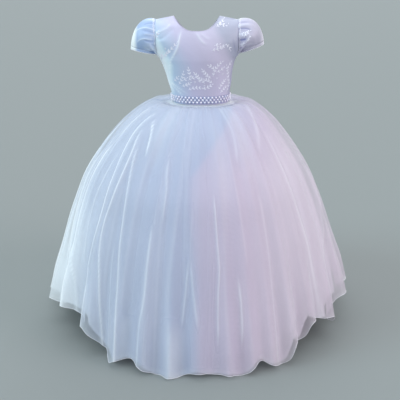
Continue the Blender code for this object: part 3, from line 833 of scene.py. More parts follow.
@dataclass(frozen=True)
class Fold:
    """A crease along a path of (angle, height) places, from its upper end down. Height is how
    far its ridge stands out in mm, or its trough in, width half its breadth in mm, and line how
    white its edge is: the doubled net's own white on the skirt, painted highlight on satin, and
    below 0 painted crease shade. Core is the share of that line that is in a fine line down the
    middle."""

    path: tuple[tuple[float, float], ...]
    height: float
    width: float
    line: float = 0.0
    fade: float = 0.9
    core: float = 0.7

    def relief(
        self, angle: np.ndarray, down: np.ndarray, radius: np.ndarray | float, unit: float
    ) -> tuple[np.ndarray, np.ndarray]:
        """How far the fold lifts each place of the cloth, and its edge line there.

        Args:
            angle: the places' angles.
            down: their levels, or their drops.
            radius: the cloth's radius there.
            unit: metres that one step of down is.

        Returns:
            The heights, and the fold's edge line: the white of doubled net, painted highlight, and below 0
            painted crease shade.
        """
        line_up = Table(("angle", "down"), self.path, "down")
        near = 0.1 * self.fade
        middle = line_up.at("angle", down)
        ahead = line_up.at("angle", down + near) - line_up.at("angle", down - near)
        slant = np.radians(ahead) * radius / (2 * near * unit)
        off = np.radians((angle - middle + 180) % 360 - 180) * radius / np.hypot(1, slant)
        ends = soft_step((down - self.path[0][1]) / self.fade)
        if self.path[-1][1] != HEM_LEVEL:
            ends = ends * soft_step((self.path[-1][1] - down) / self.fade)
        wide = self.width * MM
        ridge = np.exp(-((off / wide) ** 2)) * ends
        soft = np.exp(-((off / (SOFT_LINE * wide)) ** 2))
        fine = np.exp(-((off / (FINE_LINE * wide)) ** 2))
        line = ((1 - self.core) * soft + self.core * fine) * ends
        return ridge * self.height * MM, line * self.line


# Skirt


def settled(level: np.ndarray) -> np.ndarray:
    """How far the cloth sinks where the gathers turn over from the waist."""
    return SETTLED * soft_step(level / SETTLED_FROM) * soft_step((SETTLED_TO - level) / SETTLED_FADE)


def fullness(level: np.ndarray) -> np.ndarray:
    """Share of each big fold's depth that fine net shows: it softens them above the hem."""
    return SOFTENED + (1 - SOFTENED) * soft_step((level - FULL_FROM) / (HEM_LEVEL - FULL_FROM))


def skirt_place(
    angle: np.ndarray, level: np.ndarray, inward: np.ndarray, rise: np.ndarray, pull: np.ndarray
) -> np.ndarray:
    """Places on the skirt, moved in from its outer line, with the hem raised and drawn in."""
    step, last = 0.05, len(SKIRT.rows) - 1
    low, high = np.maximum(level - step, 0), np.minimum(level + step, last)
    across = SKIRT.at("radius", high) - SKIRT.at("radius", low)
    down = SKIRT.at("drop", high) - SKIRT.at("drop", low)
    long = np.hypot(across, down)
    share = np.clip((level / last - RISE_START) / (1 - RISE_START), 0, None) ** RISE_POWER
    radius = SKIRT.at("radius", level) - down / long * inward - pull * share
    height = -SKIRT.at("drop", level) - across / long * inward + rise * share
    turn = np.radians(angle)
    x = SKIRT.at("lean", level) + radius * np.sin(turn)
    y = -radius * SKIRT.at("roundness", level) * np.cos(turn)
    return np.stack([x, y, height], axis=-1)


def flute_at(angle: np.ndarray) -> tuple[np.ndarray, np.ndarray, np.ndarray, np.ndarray]:
    """Phase from one flute's crest to the next one's, and the depth, rise and pull there."""
    crests = FLUTES.column("angle")
    place = (angle - crests[0]) % 360
    starts = crests - crests[0]
    first = np.searchsorted(starts, place, side="right") - 1
    ends = np.append(starts[1:], 360.0)
    phase = (place - starts[first]) / (ends[first] - starts[first])
    after = (first + 1) % len(crests)
    eased = [
        FLUTES.column(name)[first] * (1 - phase) + FLUTES.column(name)[after] * phase
        for name in ("depth", "rise", "pull")
    ]
    return phase, *eased


def hem_rise(angle: np.ndarray) -> np.ndarray:
    """How far the net's hem hangs above the lowest line, with its uneven cut."""
    lift = HEM_LIFTS.at("lift", (angle + 180) % 360 - 180)
    return np.maximum(flute_at(angle)[2] + lift, -HEM_BELOW)


FRONT_FOLDS = (
    Fold(
        ((-42, 3.6), (-50, 4.9), (-50, 6.2), (-47, 7.6), (-46.5, 9.3), (-48, 10.7), (-49, 11.6),
         (-46, 12.6), (-46, 14)), 6, 7, 0.75
    ),
    Fold(
        ((-46, 4.8), (-42, 6.2), (-42, 8), (-43.3, 9.3), (-42.5, 10.4), (-40.5, 11.6), (-38, 14)),
        5, 6, 0.65
    ),
    Fold(((-41, 5.6), (-38, 6.9), (-35, 8.2), (-33, 9.8), (-31, 11.3), (-29.5, 13), (-29, 14)), 5, 6, 0.6),
    Fold(((-42, 4.2), (-36, 5), (-33, 5.6), (-31, 6.4)), 5, 6, 0.85, 0.6),
    Fold(((-17, 6), (-16.5, 6.8), (-15, 7.6), (-15.5, 9)), 3, 7, 0.35),
    Fold(((-19.5, 8.6), (-19.5, 10.5), (-19.5, 11.6), (-20.5, 12.6), (-20.5, 14)), 3.5, 8, 0.4),
    Fold(((-3.3, 9.6), (-4.5, 11.2), (-6, 12.8)), 2.5, 7, 0.35),
    Fold(((-3.0, 9.6), (-1.5, 11.2), (0.5, 12.8)), 2.5, 7, 0.35),
    Fold(((7.5, 7.4), (8, 9.2), (8.3, 10.3), (7.5, 11.4), (7, 13.4)), 3.5, 5, 0.42),
    Fold(((15.5, 10.4), (16, 11.7), (15.5, 13.4)), 3, 7, 0.45),
    Fold(((84, 7.2), (76, 8.6), (69, 10.4), (64, 12), (63.5, 14)), 8, 16, 0.1),
    Fold(((-66, 5.8), (-66.5, 7.4), (-64, 9.2), (-61, 11.1), (-58.5, 14)), 8, 17, 0.8),
    Fold(((-73, 6.4), (-71, 9), (-68, 11.5), (-65, 14)), 6, 12, 0.6),
    Fold(((-62.5, 10.8), (-56, 12.6), (-54, 14)), 4, 8, 0.5),
    Fold(((19, 2.6), (23, 4.2), (24, 5.2), (21.5, 6.8)), 3.5, 14, 0.25),
    Fold(((60, 2.8), (53, 3.9), (45, 5), (38, 6.4)), 4, 16, 0.25),
    Fold(((-7, 5.2), (-5, 8), (-4, 10.4)), 2.5, 14, 0.12),
    Fold(((30, 7), (31, 9), (29, 12), (28, 14)), -4, 18),
    Fold(((52, 5), (50, 8), (52, 11), (54, 14)), 5, 15, 0.2),
    Fold(((-27, 3), (-25, 5), (-26, 8)), -3.5, 14),
    Fold(((-80, 4.5), (-84, 7), (-86, 10), (-88, 14)), 7, 14, 0.7),
    Fold(((-8.4, 11.8), (-8.0, 14)), 1.0, 23, 0.36, 1.4, 0.0),
    Fold(((-24, 1.6), (-27, 4.0), (-26, 7.4)), 2.0, 22, 0.22, 2.4, 0.0),
    Fold(((26, 1.6), (29, 4.2), (27, 8.0)), 2.0, 24, 0.24, 2.6, 0.0),
    Fold(((11, 2.6), (13, 6.0), (12, 9.4)), 1.5, 22, 0.16, 3.0, 0.0),
    Fold(((-27, 12.4), (-27, 14)), 1.0, 30, 0.2, 0.5),
    Fold(((-84, 5.6), (-80, 8), (-78, 10.6), (-77, 14)), 3, 5, 0.6),
    Fold(((-76, 7.2), (-75, 9.6), (-73, 12)), 3, 4, 0.55),
    Fold(((-71, 5.2), (-69.5, 7.6), (-69, 10.2)), 2.5, 4, 0.5),
    Fold(((-69, 9.0), (-67.5, 11.4), (-66, 14)), 3, 4, 0.5),
    Fold(((-60.5, 4.6), (-61, 7), (-59.5, 9.6), (-58, 12)), 3, 4, 0.4),
    Fold(((-54.5, 6.2), (-55, 9), (-53, 11.8)), 2.5, 4, 0.35),
    Fold(((-37, 9.6), (-36, 11.8), (-34.5, 14)), 2, 4, 0.3),
    Fold(((-58, 3.2), (-62, 4.6), (-66, 6.4)), 3.0, 18, 0.55),
)
BACK_FOLDS = (
    Fold(((97, 4.6), (99, 7), (98, 10), (96, 14)), 6, 11, 0.3),
    Fold(((112, 6.0), (110, 8.5), (113, 11), (114, 14)), 5, 8, 0.36),
    Fold(((124, 3.4), (128, 5.5), (127, 8)), 4, 12, 0.18),
    Fold(((131, 7.6), (129, 9.5), (130, 12.5)), 3.5, 7, 0.3),
    Fold(((143, 4.8), (146, 7), (148, 10), (147, 14)), 6, 9, 0.42),
    Fold(((158, 6.6), (156, 9), (159, 12), (160, 14)), 4, 7, 0.3),
    Fold(((167, 3.6), (165, 5), (166, 6.8)), 4.5, 10, 0.24),
    Fold(((176, 5.2), (175, 8), (177, 11), (176, 14)), 5, 8, 0.36),
    Fold(((188, 7.4), (190, 10), (189, 13)), 3, 7, 0.24),
    Fold(((197, 4.2), (200, 6.4), (202, 9.4), (201, 14)), 6, 9, 0.42),
    Fold(((211, 6.8), (209, 9), (212, 11.6)), 3.5, 8, 0.24),
    Fold(((222, 3.8), (219, 6), (221, 9), (224, 14)), 5, 10, 0.3),
    Fold(((236, 5.6), (238, 8.4), (236, 11), (235, 14)), 5.5, 8, 0.42),
    Fold(((247, 3.2), (244, 5), (245, 7.4)), 4, 12, 0.18),
    Fold(((258, 6.2), (260, 9), (259, 14)), 6, 11, 0.36),
)


# How far a scattered fold is from its even place, as a share of their step, and how much it
# leans, in degrees
FOLD_JITTER = 0.45
FOLD_LEAN = 2.5


def scattered_folds(
    seed: int,
    count: int,
    top: tuple[float, float],
    run: tuple[float, float],
    height: tuple[float, float],
    width: tuple[float, float],
    line: float,
) -> list[Fold]:
    """Smaller folds between the main ones, uneven in place, length, depth and breadth.

    Args:
        seed: what picks them.
        count: how many there are.
        top: the least and most level of their upper ends.
        run: the least and most levels that they run down.
        height: the least and most height in mm.
        width: the least and most width in mm.
        line: the most that their edges whiten.

    Returns:
        The folds.
    """
    dice = np.random.default_rng(seed)
    folds = []
    for number in range(count):
        angle = (number + dice.uniform(-FOLD_JITTER, FOLD_JITTER)) * 360 / count
        start = dice.uniform(*top)
        length = dice.uniform(*run)
        lean = dice.uniform(-FOLD_LEAN, FOLD_LEAN)
        places = ((0, 0), (0.6, 0.5), (1, 1))
        path = tuple((angle + lean * over, start + length * down) for over, down in places)
        folds.append(Fold(path, dice.uniform(*height), dice.uniform(*width), dice.uniform(0, line)))
    return folds


@dataclass
class Tulle:
    """The sheer outer skirt: five gathered panels of net with a fine rolled hem."""

    finish: NetFinish
    hem_finish: CordFinish
    columns_around: int = 1400
    rows: int = 62
    row_spread: float = 0.85
    hem_radius: float = 0.5 * MM
    uneven_flutes: float = 0.05
    gathers_shown: float = 0.5
    billow: float = 3 * MM
    fine_billow: float = 0.6
    scallop: float = 2.5 * MM
    scallop_from: float = 9
    edge_height: float = 0.12
    edge_fade: float = 0.1
    edge_white: float = 0.15
    # Painted light next to the waist, over the shade below the belt
    waist_painted_light: float = 0.8
    waist_reach: float = 2.6
    panels: tuple[tuple[str, int, int, tuple[float, float], float], ...] = (
        ("tulle_back_left", 0, 3, (0.80, 0.98), 0.52),
        ("tulle_side_left", 4, 8, (0.90, 0.97), 0.57),
        ("tulle_front", 9, 16, (0.94, 0.99), 0.62),
        ("tulle_side_right", 17, 21, (0.90, 0.97), 0.56),
        ("tulle_back_right", 22, 25, (0.80, 0.98), 0.52),
    )
    folds: list[Fold] = field(default_factory=list)

    def __post_init__(self) -> None:
        """Collects the folds: the listed ones, the gathers and the smaller ones."""
        self.folds = [
            *FRONT_FOLDS,
            *BACK_FOLDS,
            *scattered_folds(11, 96, (0.2, 1.2), (1.2, 4.2), (0.8, 2.8), (3.0, 7.0), 0.14),
            *scattered_folds(12, 40, (2.2, 8.0), (3.0, 9.0), (0.8, 2.4), (6, 15), 0.16),
        ]

    def cloth(self, angle: np.ndarray, level: np.ndarray) -> tuple[np.ndarray, np.ndarray]:
        """Places on the net, and how white it is there: doubled net along folds and at the hem, and painted
        light next to the waist.
        """
        phase, depth, _, pull = flute_at(angle)
        turn = angle / 360
        phase = phase + self.uneven_flutes * np.sin(2 * math.pi * phase) * wavy(turn, 26, seed=5)
        wave = (1 - np.cos(2 * math.pi * phase)) / 2
        radius = SKIRT.at("radius", level)
        inward = 2 * depth * wave * SKIRT.at("flute", level) * fullness(level)
        inward += SKIRT.at("gather", level) * MM * self.gathers_shown + settled(level)
        low = soft_step(level / HEM_LEVEL)
        billow = wavy(turn + 0.02 * np.sin(level), 19, seed=6)
        billow += self.fine_billow * wavy(turn, 41, seed=7) * low
        inward += self.billow * (1 + billow) * low
        shine = np.zeros_like(inward)
        for fold in self.folds:
            lift, line = fold.relief(angle, level, radius, LEVEL_STEP)
            inward -= lift
            shine = np.maximum(shine, line)
        lowest = soft_step((level - self.scallop_from) / (HEM_LEVEL - self.scallop_from))
        rise = hem_rise(angle) + self.scallop * (1 + wavy(turn, 118, seed=8)) * lowest
        edge = soft_step((level - (HEM_LEVEL - self.edge_height)) / self.edge_fade)
        # Painted light next to the waist, over the shade below the belt and on the skirt's upward-facing
        # top
        waist = 1 - soft_step(level / self.waist_reach)
        shine = np.clip(shine + self.edge_white * edge + self.waist_painted_light * waist, 0, 1)
        return skirt_place(angle, level, inward, rise, pull), shine

    def build(self) -> list[bpy.types.Object]:
        """Makes the five panels and the rolled hem."""
        surface = self.finish.make()
        crests = FLUTES.column("angle")
        troughs = (crests + np.append(crests[1:], crests[0] + 360)) / 2
        levels = np.linspace(0, 1, self.rows) ** self.row_spread * HEM_LEVEL
        pieces, hem = [], []
        for name, first, last, *_ in self.panels:
            start = troughs[first - 1] - (360 if first == 0 else 0)
            count = round(self.columns_around * (troughs[last] - start) / 360)
            angle, level = np.meshgrid(np.linspace(start, troughs[last], count + 1), levels[::-1])
            points, fold = self.cloth(angle, level)
            made = Loft(f"{name}_net", points, flat_places(points, False), fold).build()
            finish_piece(made, surface, [name])
            pieces.append(made)
            hem.append(points[0][:-1])
        edge = lay_cords("tulle_rolled_hem", [Cord(np.concatenate(hem)[::2], True)], self.hem_radius)
        finish_piece(edge, self.hem_finish.make(), [])
        return pieces


@dataclass
class UnderTulle:
    """A second, denser layer of net that hangs a little inside the first, all round."""

    finish: NetFinish
    columns: int = 720
    rows: int = 46
    gap_top: float = 0.0035
    gap_low: float = 0.008
    left_gap: float = 0.006
    right_gap: float = 0.016
    side_from: float = 3
    side_fade: float = 4
    sway: tuple[float, float] = (0.45, 0.3)
    doubled_white: float = 0.5
    lift: float = 4 * MM
    uneven_lift: float = 3 * MM
    flat: tuple[float, float] = (4.3, 0.97)
    area: float = 2.5

    def build(self) -> bpy.types.Object:
        """Makes the layer."""
        angles = np.linspace(0, 360, self.columns, endpoint=False)
        levels = np.linspace(0.35, HEM_LEVEL, self.rows)
        angle, level = np.meshgrid(angles, levels[::-1])
        phase, depth, _, pull = flute_at(angle)
        rise = hem_rise(angle)
        wave = (1 - np.cos(2 * math.pi * phase)) / 2
        flute = SKIRT.at("flute", level)
        turn = angle / 360
        low = soft_step(level / HEM_LEVEL)
        inward = depth * (1 + wave) * flute * fullness(level)
        inward += SKIRT.at("gather", level) * MM + self.gap_top + settled(level) * SETTLED_BELOW
        side = np.sin(np.radians(angle)) ** 8 * soft_step((level - self.side_from) / self.side_fade)
        inward += np.where(angle < 180, self.right_gap, self.left_gap) * side
        wide_sway, fine_sway = self.sway
        sway = wide_sway * wavy(turn, 61, seed=21) + fine_sway * wavy(turn, 23, seed=22)
        inward += self.gap_low * low * (1 + sway)
        doubled = np.clip(wavy(turn + 0.004 * np.sin(level * 0.7), 150, seed=23), 0, 1)
        shine = self.doubled_white * doubled**2
        lift = self.lift + self.uneven_lift * wavy(turn, 46, seed=24)
        points = skirt_place(angle, level, inward, rise + lift, pull)
        made = Loft("under_tulle_net", points, flat_places(points, True), shine * low, ring=True).build()
        finish_piece(made, self.finish.make(), [])
        return made


@dataclass
class Underskirt:
    """The opaque skirt that shows through the net, in the solid's own form."""

    finish: SatinFinish
    columns: int = 480
    rows: int = 40
    waves: int = 12
    wave: float = 0.007
    rise: float = 0.0665
    side_rise: float = 0.0175
    clear_of_hem: float = 0.02
    gap: float = 1.8 * MM
    low_gap: float = 4 * MM
    flat: tuple[float, float] = (3.1, 0.90)
    area: float = 2.0

    def build(self) -> bpy.types.Object:
        """Makes the underskirt."""
        angles = np.linspace(0, 360, self.columns, endpoint=False)
        angle, level = np.meshgrid(angles, np.linspace(0.35, HEM_LEVEL, self.rows)[::-1])
        deepest = (2 * FLUTES.column("depth") + FLUTES.column("pull")).max()
        flute = SKIRT.at("flute", level)
        clear = deepest * flute + SKIRT.at("gather", level) * MM + TULLE_WALL
        clear += self.gap + self.low_gap * np.minimum(1, level / 2) + settled(level) * SETTLED_BELOW
        wave = 1 - np.cos(np.radians(angle) * self.waves + 0.5 * wavy(angle / 360, 17, seed=31))
        inward = clear + self.wave * wave * flute
        rise = self.rise - self.side_rise * np.cos(2 * np.radians(angle))
        rise = np.maximum(rise, hem_rise(angle) + self.clear_of_hem)
        points = skirt_place(angle, level, inward, rise, np.zeros_like(level))
        made = Loft("underskirt_cloth", points, flat_places(points, True), ring=True).build()
        finish_piece(made, self.finish.make(), ["underskirt"])
        return made


# Bodice


def armhole_depth(drop: np.ndarray) -> np.ndarray:
    """Half the front-to-back size of the armhole, which is an ellipse seen from the side."""
    middle = (SHOULDER_DROP + UNDERARM_DROP) / 2
    reach = (UNDERARM_DROP - SHOULDER_DROP) / 2
    return ARMHOLE_HALF_DEPTH * np.sqrt(np.clip(1 - ((drop - middle) / reach) ** 2, 0, None))


def shoulder_line(across: np.ndarray) -> np.ndarray:
    """Drop of the shoulder seam, at a distance from the centre."""
    return SHOULDER_DROP * np.clip((across - NECK_HALF) / (SHOULDER_HALF - NECK_HALF), 0, 1)


def torso(angle: np.ndarray, drop: np.ndarray) -> np.ndarray:
    """Places on the bodice's inner surface."""
    turn = np.radians(angle)
    share = np.sin(turn)
    front = np.cos(turn) >= 0
    half_width = BODICE.at("half_width", drop)
    slope = shoulder_line(np.abs(share) * half_width) * np.clip(1 - drop / UNDERARM_DROP, 0, None) ** 2
    ahead = BODICE.at("front_depth", drop - slope)
    behind = BODICE.at("back_depth", drop - slope)
    middle = np.where(front, ahead, behind)
    armhole = armhole_depth(drop)
    below = (drop - (SHOULDER_DROP + UNDERARM_DROP) / 2) / ((UNDERARM_DROP - SHOULDER_DROP) / 2)
    eased = np.where(below > 0, ARMHOLE_HALF_DEPTH * (1 - soft_step(below)), armhole)
    at_side = np.abs(share) ** ARMHOLE_SHARPNESS
    edge = np.minimum(armhole * at_side + eased * (1 - at_side), middle)
    inner = np.clip(1 - np.abs(share) ** SECTION_ROUNDNESS, 0, None)
    depth = edge + (middle - edge) * inner ** BODICE.at("corner", drop)
    x = BODICE.at("lean", drop) + share * half_width
    return np.stack(np.broadcast_arrays(x, np.where(front, -depth, depth), -drop), axis=-1)


def torso_normal(angle: np.ndarray, drop: np.ndarray) -> np.ndarray:
    """The outward direction of the bodice at places on it."""
    step_angle, step_drop = 0.5, 0.5 * MM
    across = torso(angle + step_angle, drop) - torso(angle - step_angle, drop)
    down = torso(angle, drop + step_drop) - torso(angle, drop - step_drop)
    normal = np.cross(down, across)
    return normal / np.linalg.norm(normal, axis=-1, keepdims=True)


def bodice_top(angle: np.ndarray) -> np.ndarray:
    """Drop of the bodice's upper edge: the neckline in the middle, then the shoulder seam."""
    turn = np.radians(angle)
    across = np.abs(np.sin(turn)) * SHOULDER_HALF
    deepest = np.where(np.cos(turn) > 0, NECK_DROP_FRONT, NECK_DROP_BACK)
    inside = np.clip(across / NECK_HALF, 0, 1)
    return np.where(across >= NECK_HALF, shoulder_line(across), deepest * (1 - inside**NECK_ROUNDNESS))


BODICE_GIRTH_RADIUS = 0.105
# Folds of the bodice; their edge lines are painted highlight, and below 0 painted crease shade
BODICE_FOLDS = (
    Fold(
        ((-21, 0.034), (-24, 0.058), (-28, 0.090), (-34, 0.112), (-46, 0.140), (-57, 0.175),
         (-58, 0.207), (-47, 0.219), (-31, 0.236), (-20, 0.248)), 1.6, 3.6, 0.65, 0.03
    ),
    Fold(((-60, 0.110), (-65, 0.150), (-70, 0.190), (-68, 0.225), (-58, 0.246)), 0.8, 13, 1.0, 0.02),
    Fold(((-66, 0.204), (-50, 0.228), (-36, 0.250)), 1.2, 5, 0.6, 0.012),
    Fold(((-1, 0.046), (6, 0.070), (13, 0.086)), 1.4, 4, 0.35, 0.010),
    Fold(((4, 0.045), (12, 0.060), (21, 0.072)), 1.0, 4, 0.2, 0.010),
    Fold(((-80, 0.135), (-78, 0.18), (-74, 0.235)), 1.2, 7, 0.5, 0.015),
    Fold(((64, 0.11), (60, 0.15), (62, 0.20)), -1.4, 7, 0.0, 0.02),
    Fold(((76, 0.14), (74, 0.19), (72, 0.25)), 1.2, 6, 0.15, 0.02),
    Fold(((84, 0.10), (80, 0.15), (76, 0.20), (74, 0.27)), -0.5, 9, -0.55, 0.04, 0.0),
    Fold(((60, 0.06), (64, 0.09), (72, 0.12)), -1.0, 4, -0.35, 0.02, 0.3),
    Fold(((-40, 0.020), (-46, 0.034), (-60, 0.044), (-84, 0.056)), 1.8, 4, 0.3, 0.006),
    Fold(((-36, 0.030), (-40, 0.044), (-54, 0.062), (-70, 0.074)), -1.6, 5, 0.0, 0.008),
    Fold(((48, 0.05), (40, 0.075), (37, 0.10)), -1.2, 6, 0.0, 0.015),
    Fold(((120, 0.10), (128, 0.15), (126, 0.20)), 1.4, 7, 0.15, 0.02),
    Fold(((214, 0.08), (226, 0.13), (232, 0.20)), 1.3, 6, 0.2, 0.02),
    Fold(((196, 0.14), (205, 0.19), (207, 0.24)), -1.1, 7, 0.0, 0.02),
    Fold(((150, 0.07), (146, 0.12), (148, 0.17)), 1.1, 6, 0.15, 0.02),
)


def bodice_relief(angle: np.ndarray, drop: np.ndarray) -> tuple[np.ndarray, np.ndarray]:
    """How far the bodice's folds lift its outer face, and their painted highlight and painted crease shade.
    """
    lift = np.zeros(np.broadcast(angle, drop).shape)
    shine = np.zeros_like(lift)
    for fold in BODICE_FOLDS:
        up, line = fold.relief(angle, drop, BODICE_GIRTH_RADIUS, 1.0)
        lift = lift + up
        shine = shine + line
    return lift, np.clip(shine, -1, 1)


def bodice_place(
    angle: np.ndarray, drop: np.ndarray, lift: float | np.ndarray = 0.0
) -> np.ndarray:
    """Places at a height above the bodice's outer face."""
    relief, _ = bodice_relief(angle, drop)
    out = BODICE_WALL + relief + lift
    return torso(angle, drop) + torso_normal(angle, drop) * out[..., None]


@dataclass
class Bodice:
    """Three fitted satin panels with side seams and a centre-back opening."""

    finish: SatinFinish
    rows: int = 90
    neck_columns: int = 34
    shoulder_columns: int = 16
    seam_gap: float = 0.3 * MM

    def columns(self) -> np.ndarray:
        """Column angles from the centre line to the side seam, one at the neck point."""
        inner = np.linspace(0, NECK_ANGLE, self.neck_columns, endpoint=False)
        return np.append(inner, np.linspace(NECK_ANGLE, SIDE_SEAM_ANGLE, self.shoulder_columns))

    def panel(self, name: str, angles: np.ndarray, shift: tuple[float, float, float]) -> bpy.types.Object:
        """Makes one panel as a thin shell, moved a little off its seams."""
        share = np.linspace(0, 1, self.rows)[:, None]
        angle = np.broadcast_to(angles, (self.rows, len(angles)))
        drop = WAIST_DROP + (bodice_top(angles)[None] - WAIST_DROP) * share
        _, shine = bodice_relief(angle, drop)
        inner = torso(angle, drop) + np.array(shift)
        outer = bodice_place(angle, drop) + np.array(shift)
        return Loft(f"{name}_satin", outer, flat_places(outer, False), shine, inner).build()

    def build(self) -> list[bpy.types.Object]:
        """Makes the front and both back panels."""
        surface = self.finish.make()
        quarter = self.columns()
        half = self.seam_gap / 2
        front = np.concatenate([-quarter[:0:-1], quarter])
        cuts = (
            ("bodice_front", front, (0, -half, 0), (0.36, 0.29), 0.082),
            ("bodice_back_right", 180 - quarter[::-1], (half, half, 0), (0.19, 0.28), 0.041),
            ("bodice_back_left", quarter - 180, (-half, half, 0), (0.19, 0.28), 0.041),
        )
        pieces = []
        for name, angles, shift, flat, area in cuts:
            made = self.panel(name, angles, shift)
            finish_piece(made, surface, [name])
            pieces.append(made)
        return pieces


@dataclass
class NeckBinding:
    """The narrow rolled edge of the neckline, open at the centre back."""

    finish: SatinFinish
    radius: float = 1.5 * MM
    lift: float = 1.0 * MM
    points_each: int = 36
    back_gap: float = 1 * MM
    smoothing: int = 8
    least_step: float = 0.4 * MM

    def build(self) -> bpy.types.Object:
        """Makes the binding along the bodice's upper edge."""
        neck = np.linspace(0, NECK_ANGLE, self.points_each)
        angles = np.concatenate([neck - 180, -neck[::-1], neck[1:], 180 - neck[::-1]])
        drops = bodice_top(angles)
        edge = torso(angles, drops)
        normal = torso_normal(angles, drops + 3 * MM)
        # The neck points, where the way outward is straight up
        for apex in (self.points_each, 3 * self.points_each - 1):
            normal[apex - 2 : apex + 2] = (0, 0, 1)
        for _ in range(self.smoothing):
            normal[1:-1] = (normal[:-2] + 2 * normal[1:-1] + normal[2:]) / 4
            normal /= np.linalg.norm(normal, axis=1, keepdims=True)
        order = np.arange(len(edge))
        along = edge[np.minimum(order + 2, len(edge) - 1)] - edge[np.maximum(order - 2, 0)]
        away = np.cross(normal, along)
        away /= np.linalg.norm(away, axis=1, keepdims=True)
        route = edge + normal * BODICE_WALL / 2 + away * self.lift
        route[0, 0] -= self.back_gap
        route[-1, 0] += self.back_gap
        apart = np.linalg.norm(np.diff(route, axis=0), axis=1) > self.least_step
        kept = Cord(route[np.append(True, apart)])
        made = lay_cords("neck_rolled_edge", [kept], self.radius, resolution=2)
        return finish_piece(made, self.finish.make(), ["neck_binding"])


# Sleeves


# Paths over the sleeves: degrees round from the shoulder, and the share from the armhole.
# Their edge lines are painted highlight, and below 0 painted crease shade
SLEEVE_FOLDS = {
    Side.LEFT: (
        Fold(((64, -0.1), (57, 0.15), (48, 0.4), (38, 0.62), (27, 0.85)), 1.4, 2.2, 0.55, 0.1),
        Fold(((74, -0.1), (67, 0.15), (57, 0.42)), -1.5, 3.2, -0.35, 0.1),
        Fold(((81, -0.1), (76, 0.15), (68, 0.42)), 1.0, 2.2, 0.25, 0.1),
        Fold(((112, -0.1), (106, 0.12), (100, 0.3)), -1.4, 3.0, -0.3, 0.1),
        Fold(((90, 0.06), (86, 0.3), (76, 0.6), (66, 0.85)), 1.2, 2.2, 0.5, 0.12),
        Fold(((97, 0.02), (93, 0.3), (84, 0.55)), -1.3, 2.4, -0.35, 0.12),
        Fold(((122, 0.02), (119, 0.3), (114, 0.55)), 1.0, 2.0, 0.4, 0.12),
        Fold(((36, -0.1), (38, 0.2), (40, 0.36)), -1.4, 2.6, -0.45, 0.1),
        Fold(((20, -0.1), (22, 0.24)), 1.4, 2.4, 0.5, 0.1),
        Fold(((96, 0.78), (112, 0.86), (126, 0.99)), 0.9, 2.0, 0.6, 0.06),
        Fold(((108, 0.70), (128, 0.80), (140, 0.92)), -0.9, 2.0, -0.3, 0.06),
    ),
    Side.RIGHT: (
        Fold(((57, -0.1), (57, 0.2), (61, 0.42)), -1.5, 2.4, -0.75, 0.1),
        Fold(((74, -0.1), (72, 0.2), (74, 0.4)), 1.1, 4.0, 0.2, 0.1),
        Fold(((92, -0.1), (90, 0.15), (87, 0.38)), -1.7, 4.6, -1.0, 0.1),
        Fold(((104, -0.1), (103, 0.2), (100, 0.38)), 1.2, 3.0, 0.35, 0.1),
        Fold(((115, -0.1), (114, 0.15), (111, 0.34)), -1.3, 2.2, -0.7, 0.1),
        Fold(((126, -0.1), (124, 0.12)), -1.2, 2.2, -0.6, 0.06),
        Fold(((112, 0.62), (101, 0.74), (90, 0.90)), 1.0, 2.0, 0.55, 0.08),
        Fold(((122, 0.40), (116, 0.60), (112, 0.80)), -1.4, 9.0, -0.3, 0.15),
        Fold(((30, -0.1), (33, 0.3)), -1.0, 2.6, -0.25, 0.1),
    ),
}
SLEEVE_GIRTH_RADIUS = 0.045
SLEEVE_LENGTH = 0.09


@dataclass(frozen=True)
class Swell:
    """A length that changes round a sleeve: its middle, what the shoulder side adds and the
    underarm takes away, and what front and back add."""

    middle: float
    upper: float
    sides: float = 0.0

    def at(self, c: np.ndarray, s: np.ndarray) -> np.ndarray:
        """The length where the turn's cosine and sine are c and s, with one more axis."""
        return (self.middle + self.upper * c + self.sides * s * s)[..., None]


@dataclass(frozen=True)
class Strength:
    """How strong the gathers are next to the armhole and next to the band, and what they have
    everywhere."""

    armhole: float
    band: float
    always: float = 0.0

    def at(self, near: np.ndarray, far: np.ndarray) -> np.ndarray:
        """The strength where the nearness to armhole and band is near and far."""
        return self.armhole * near + self.band * far + self.always


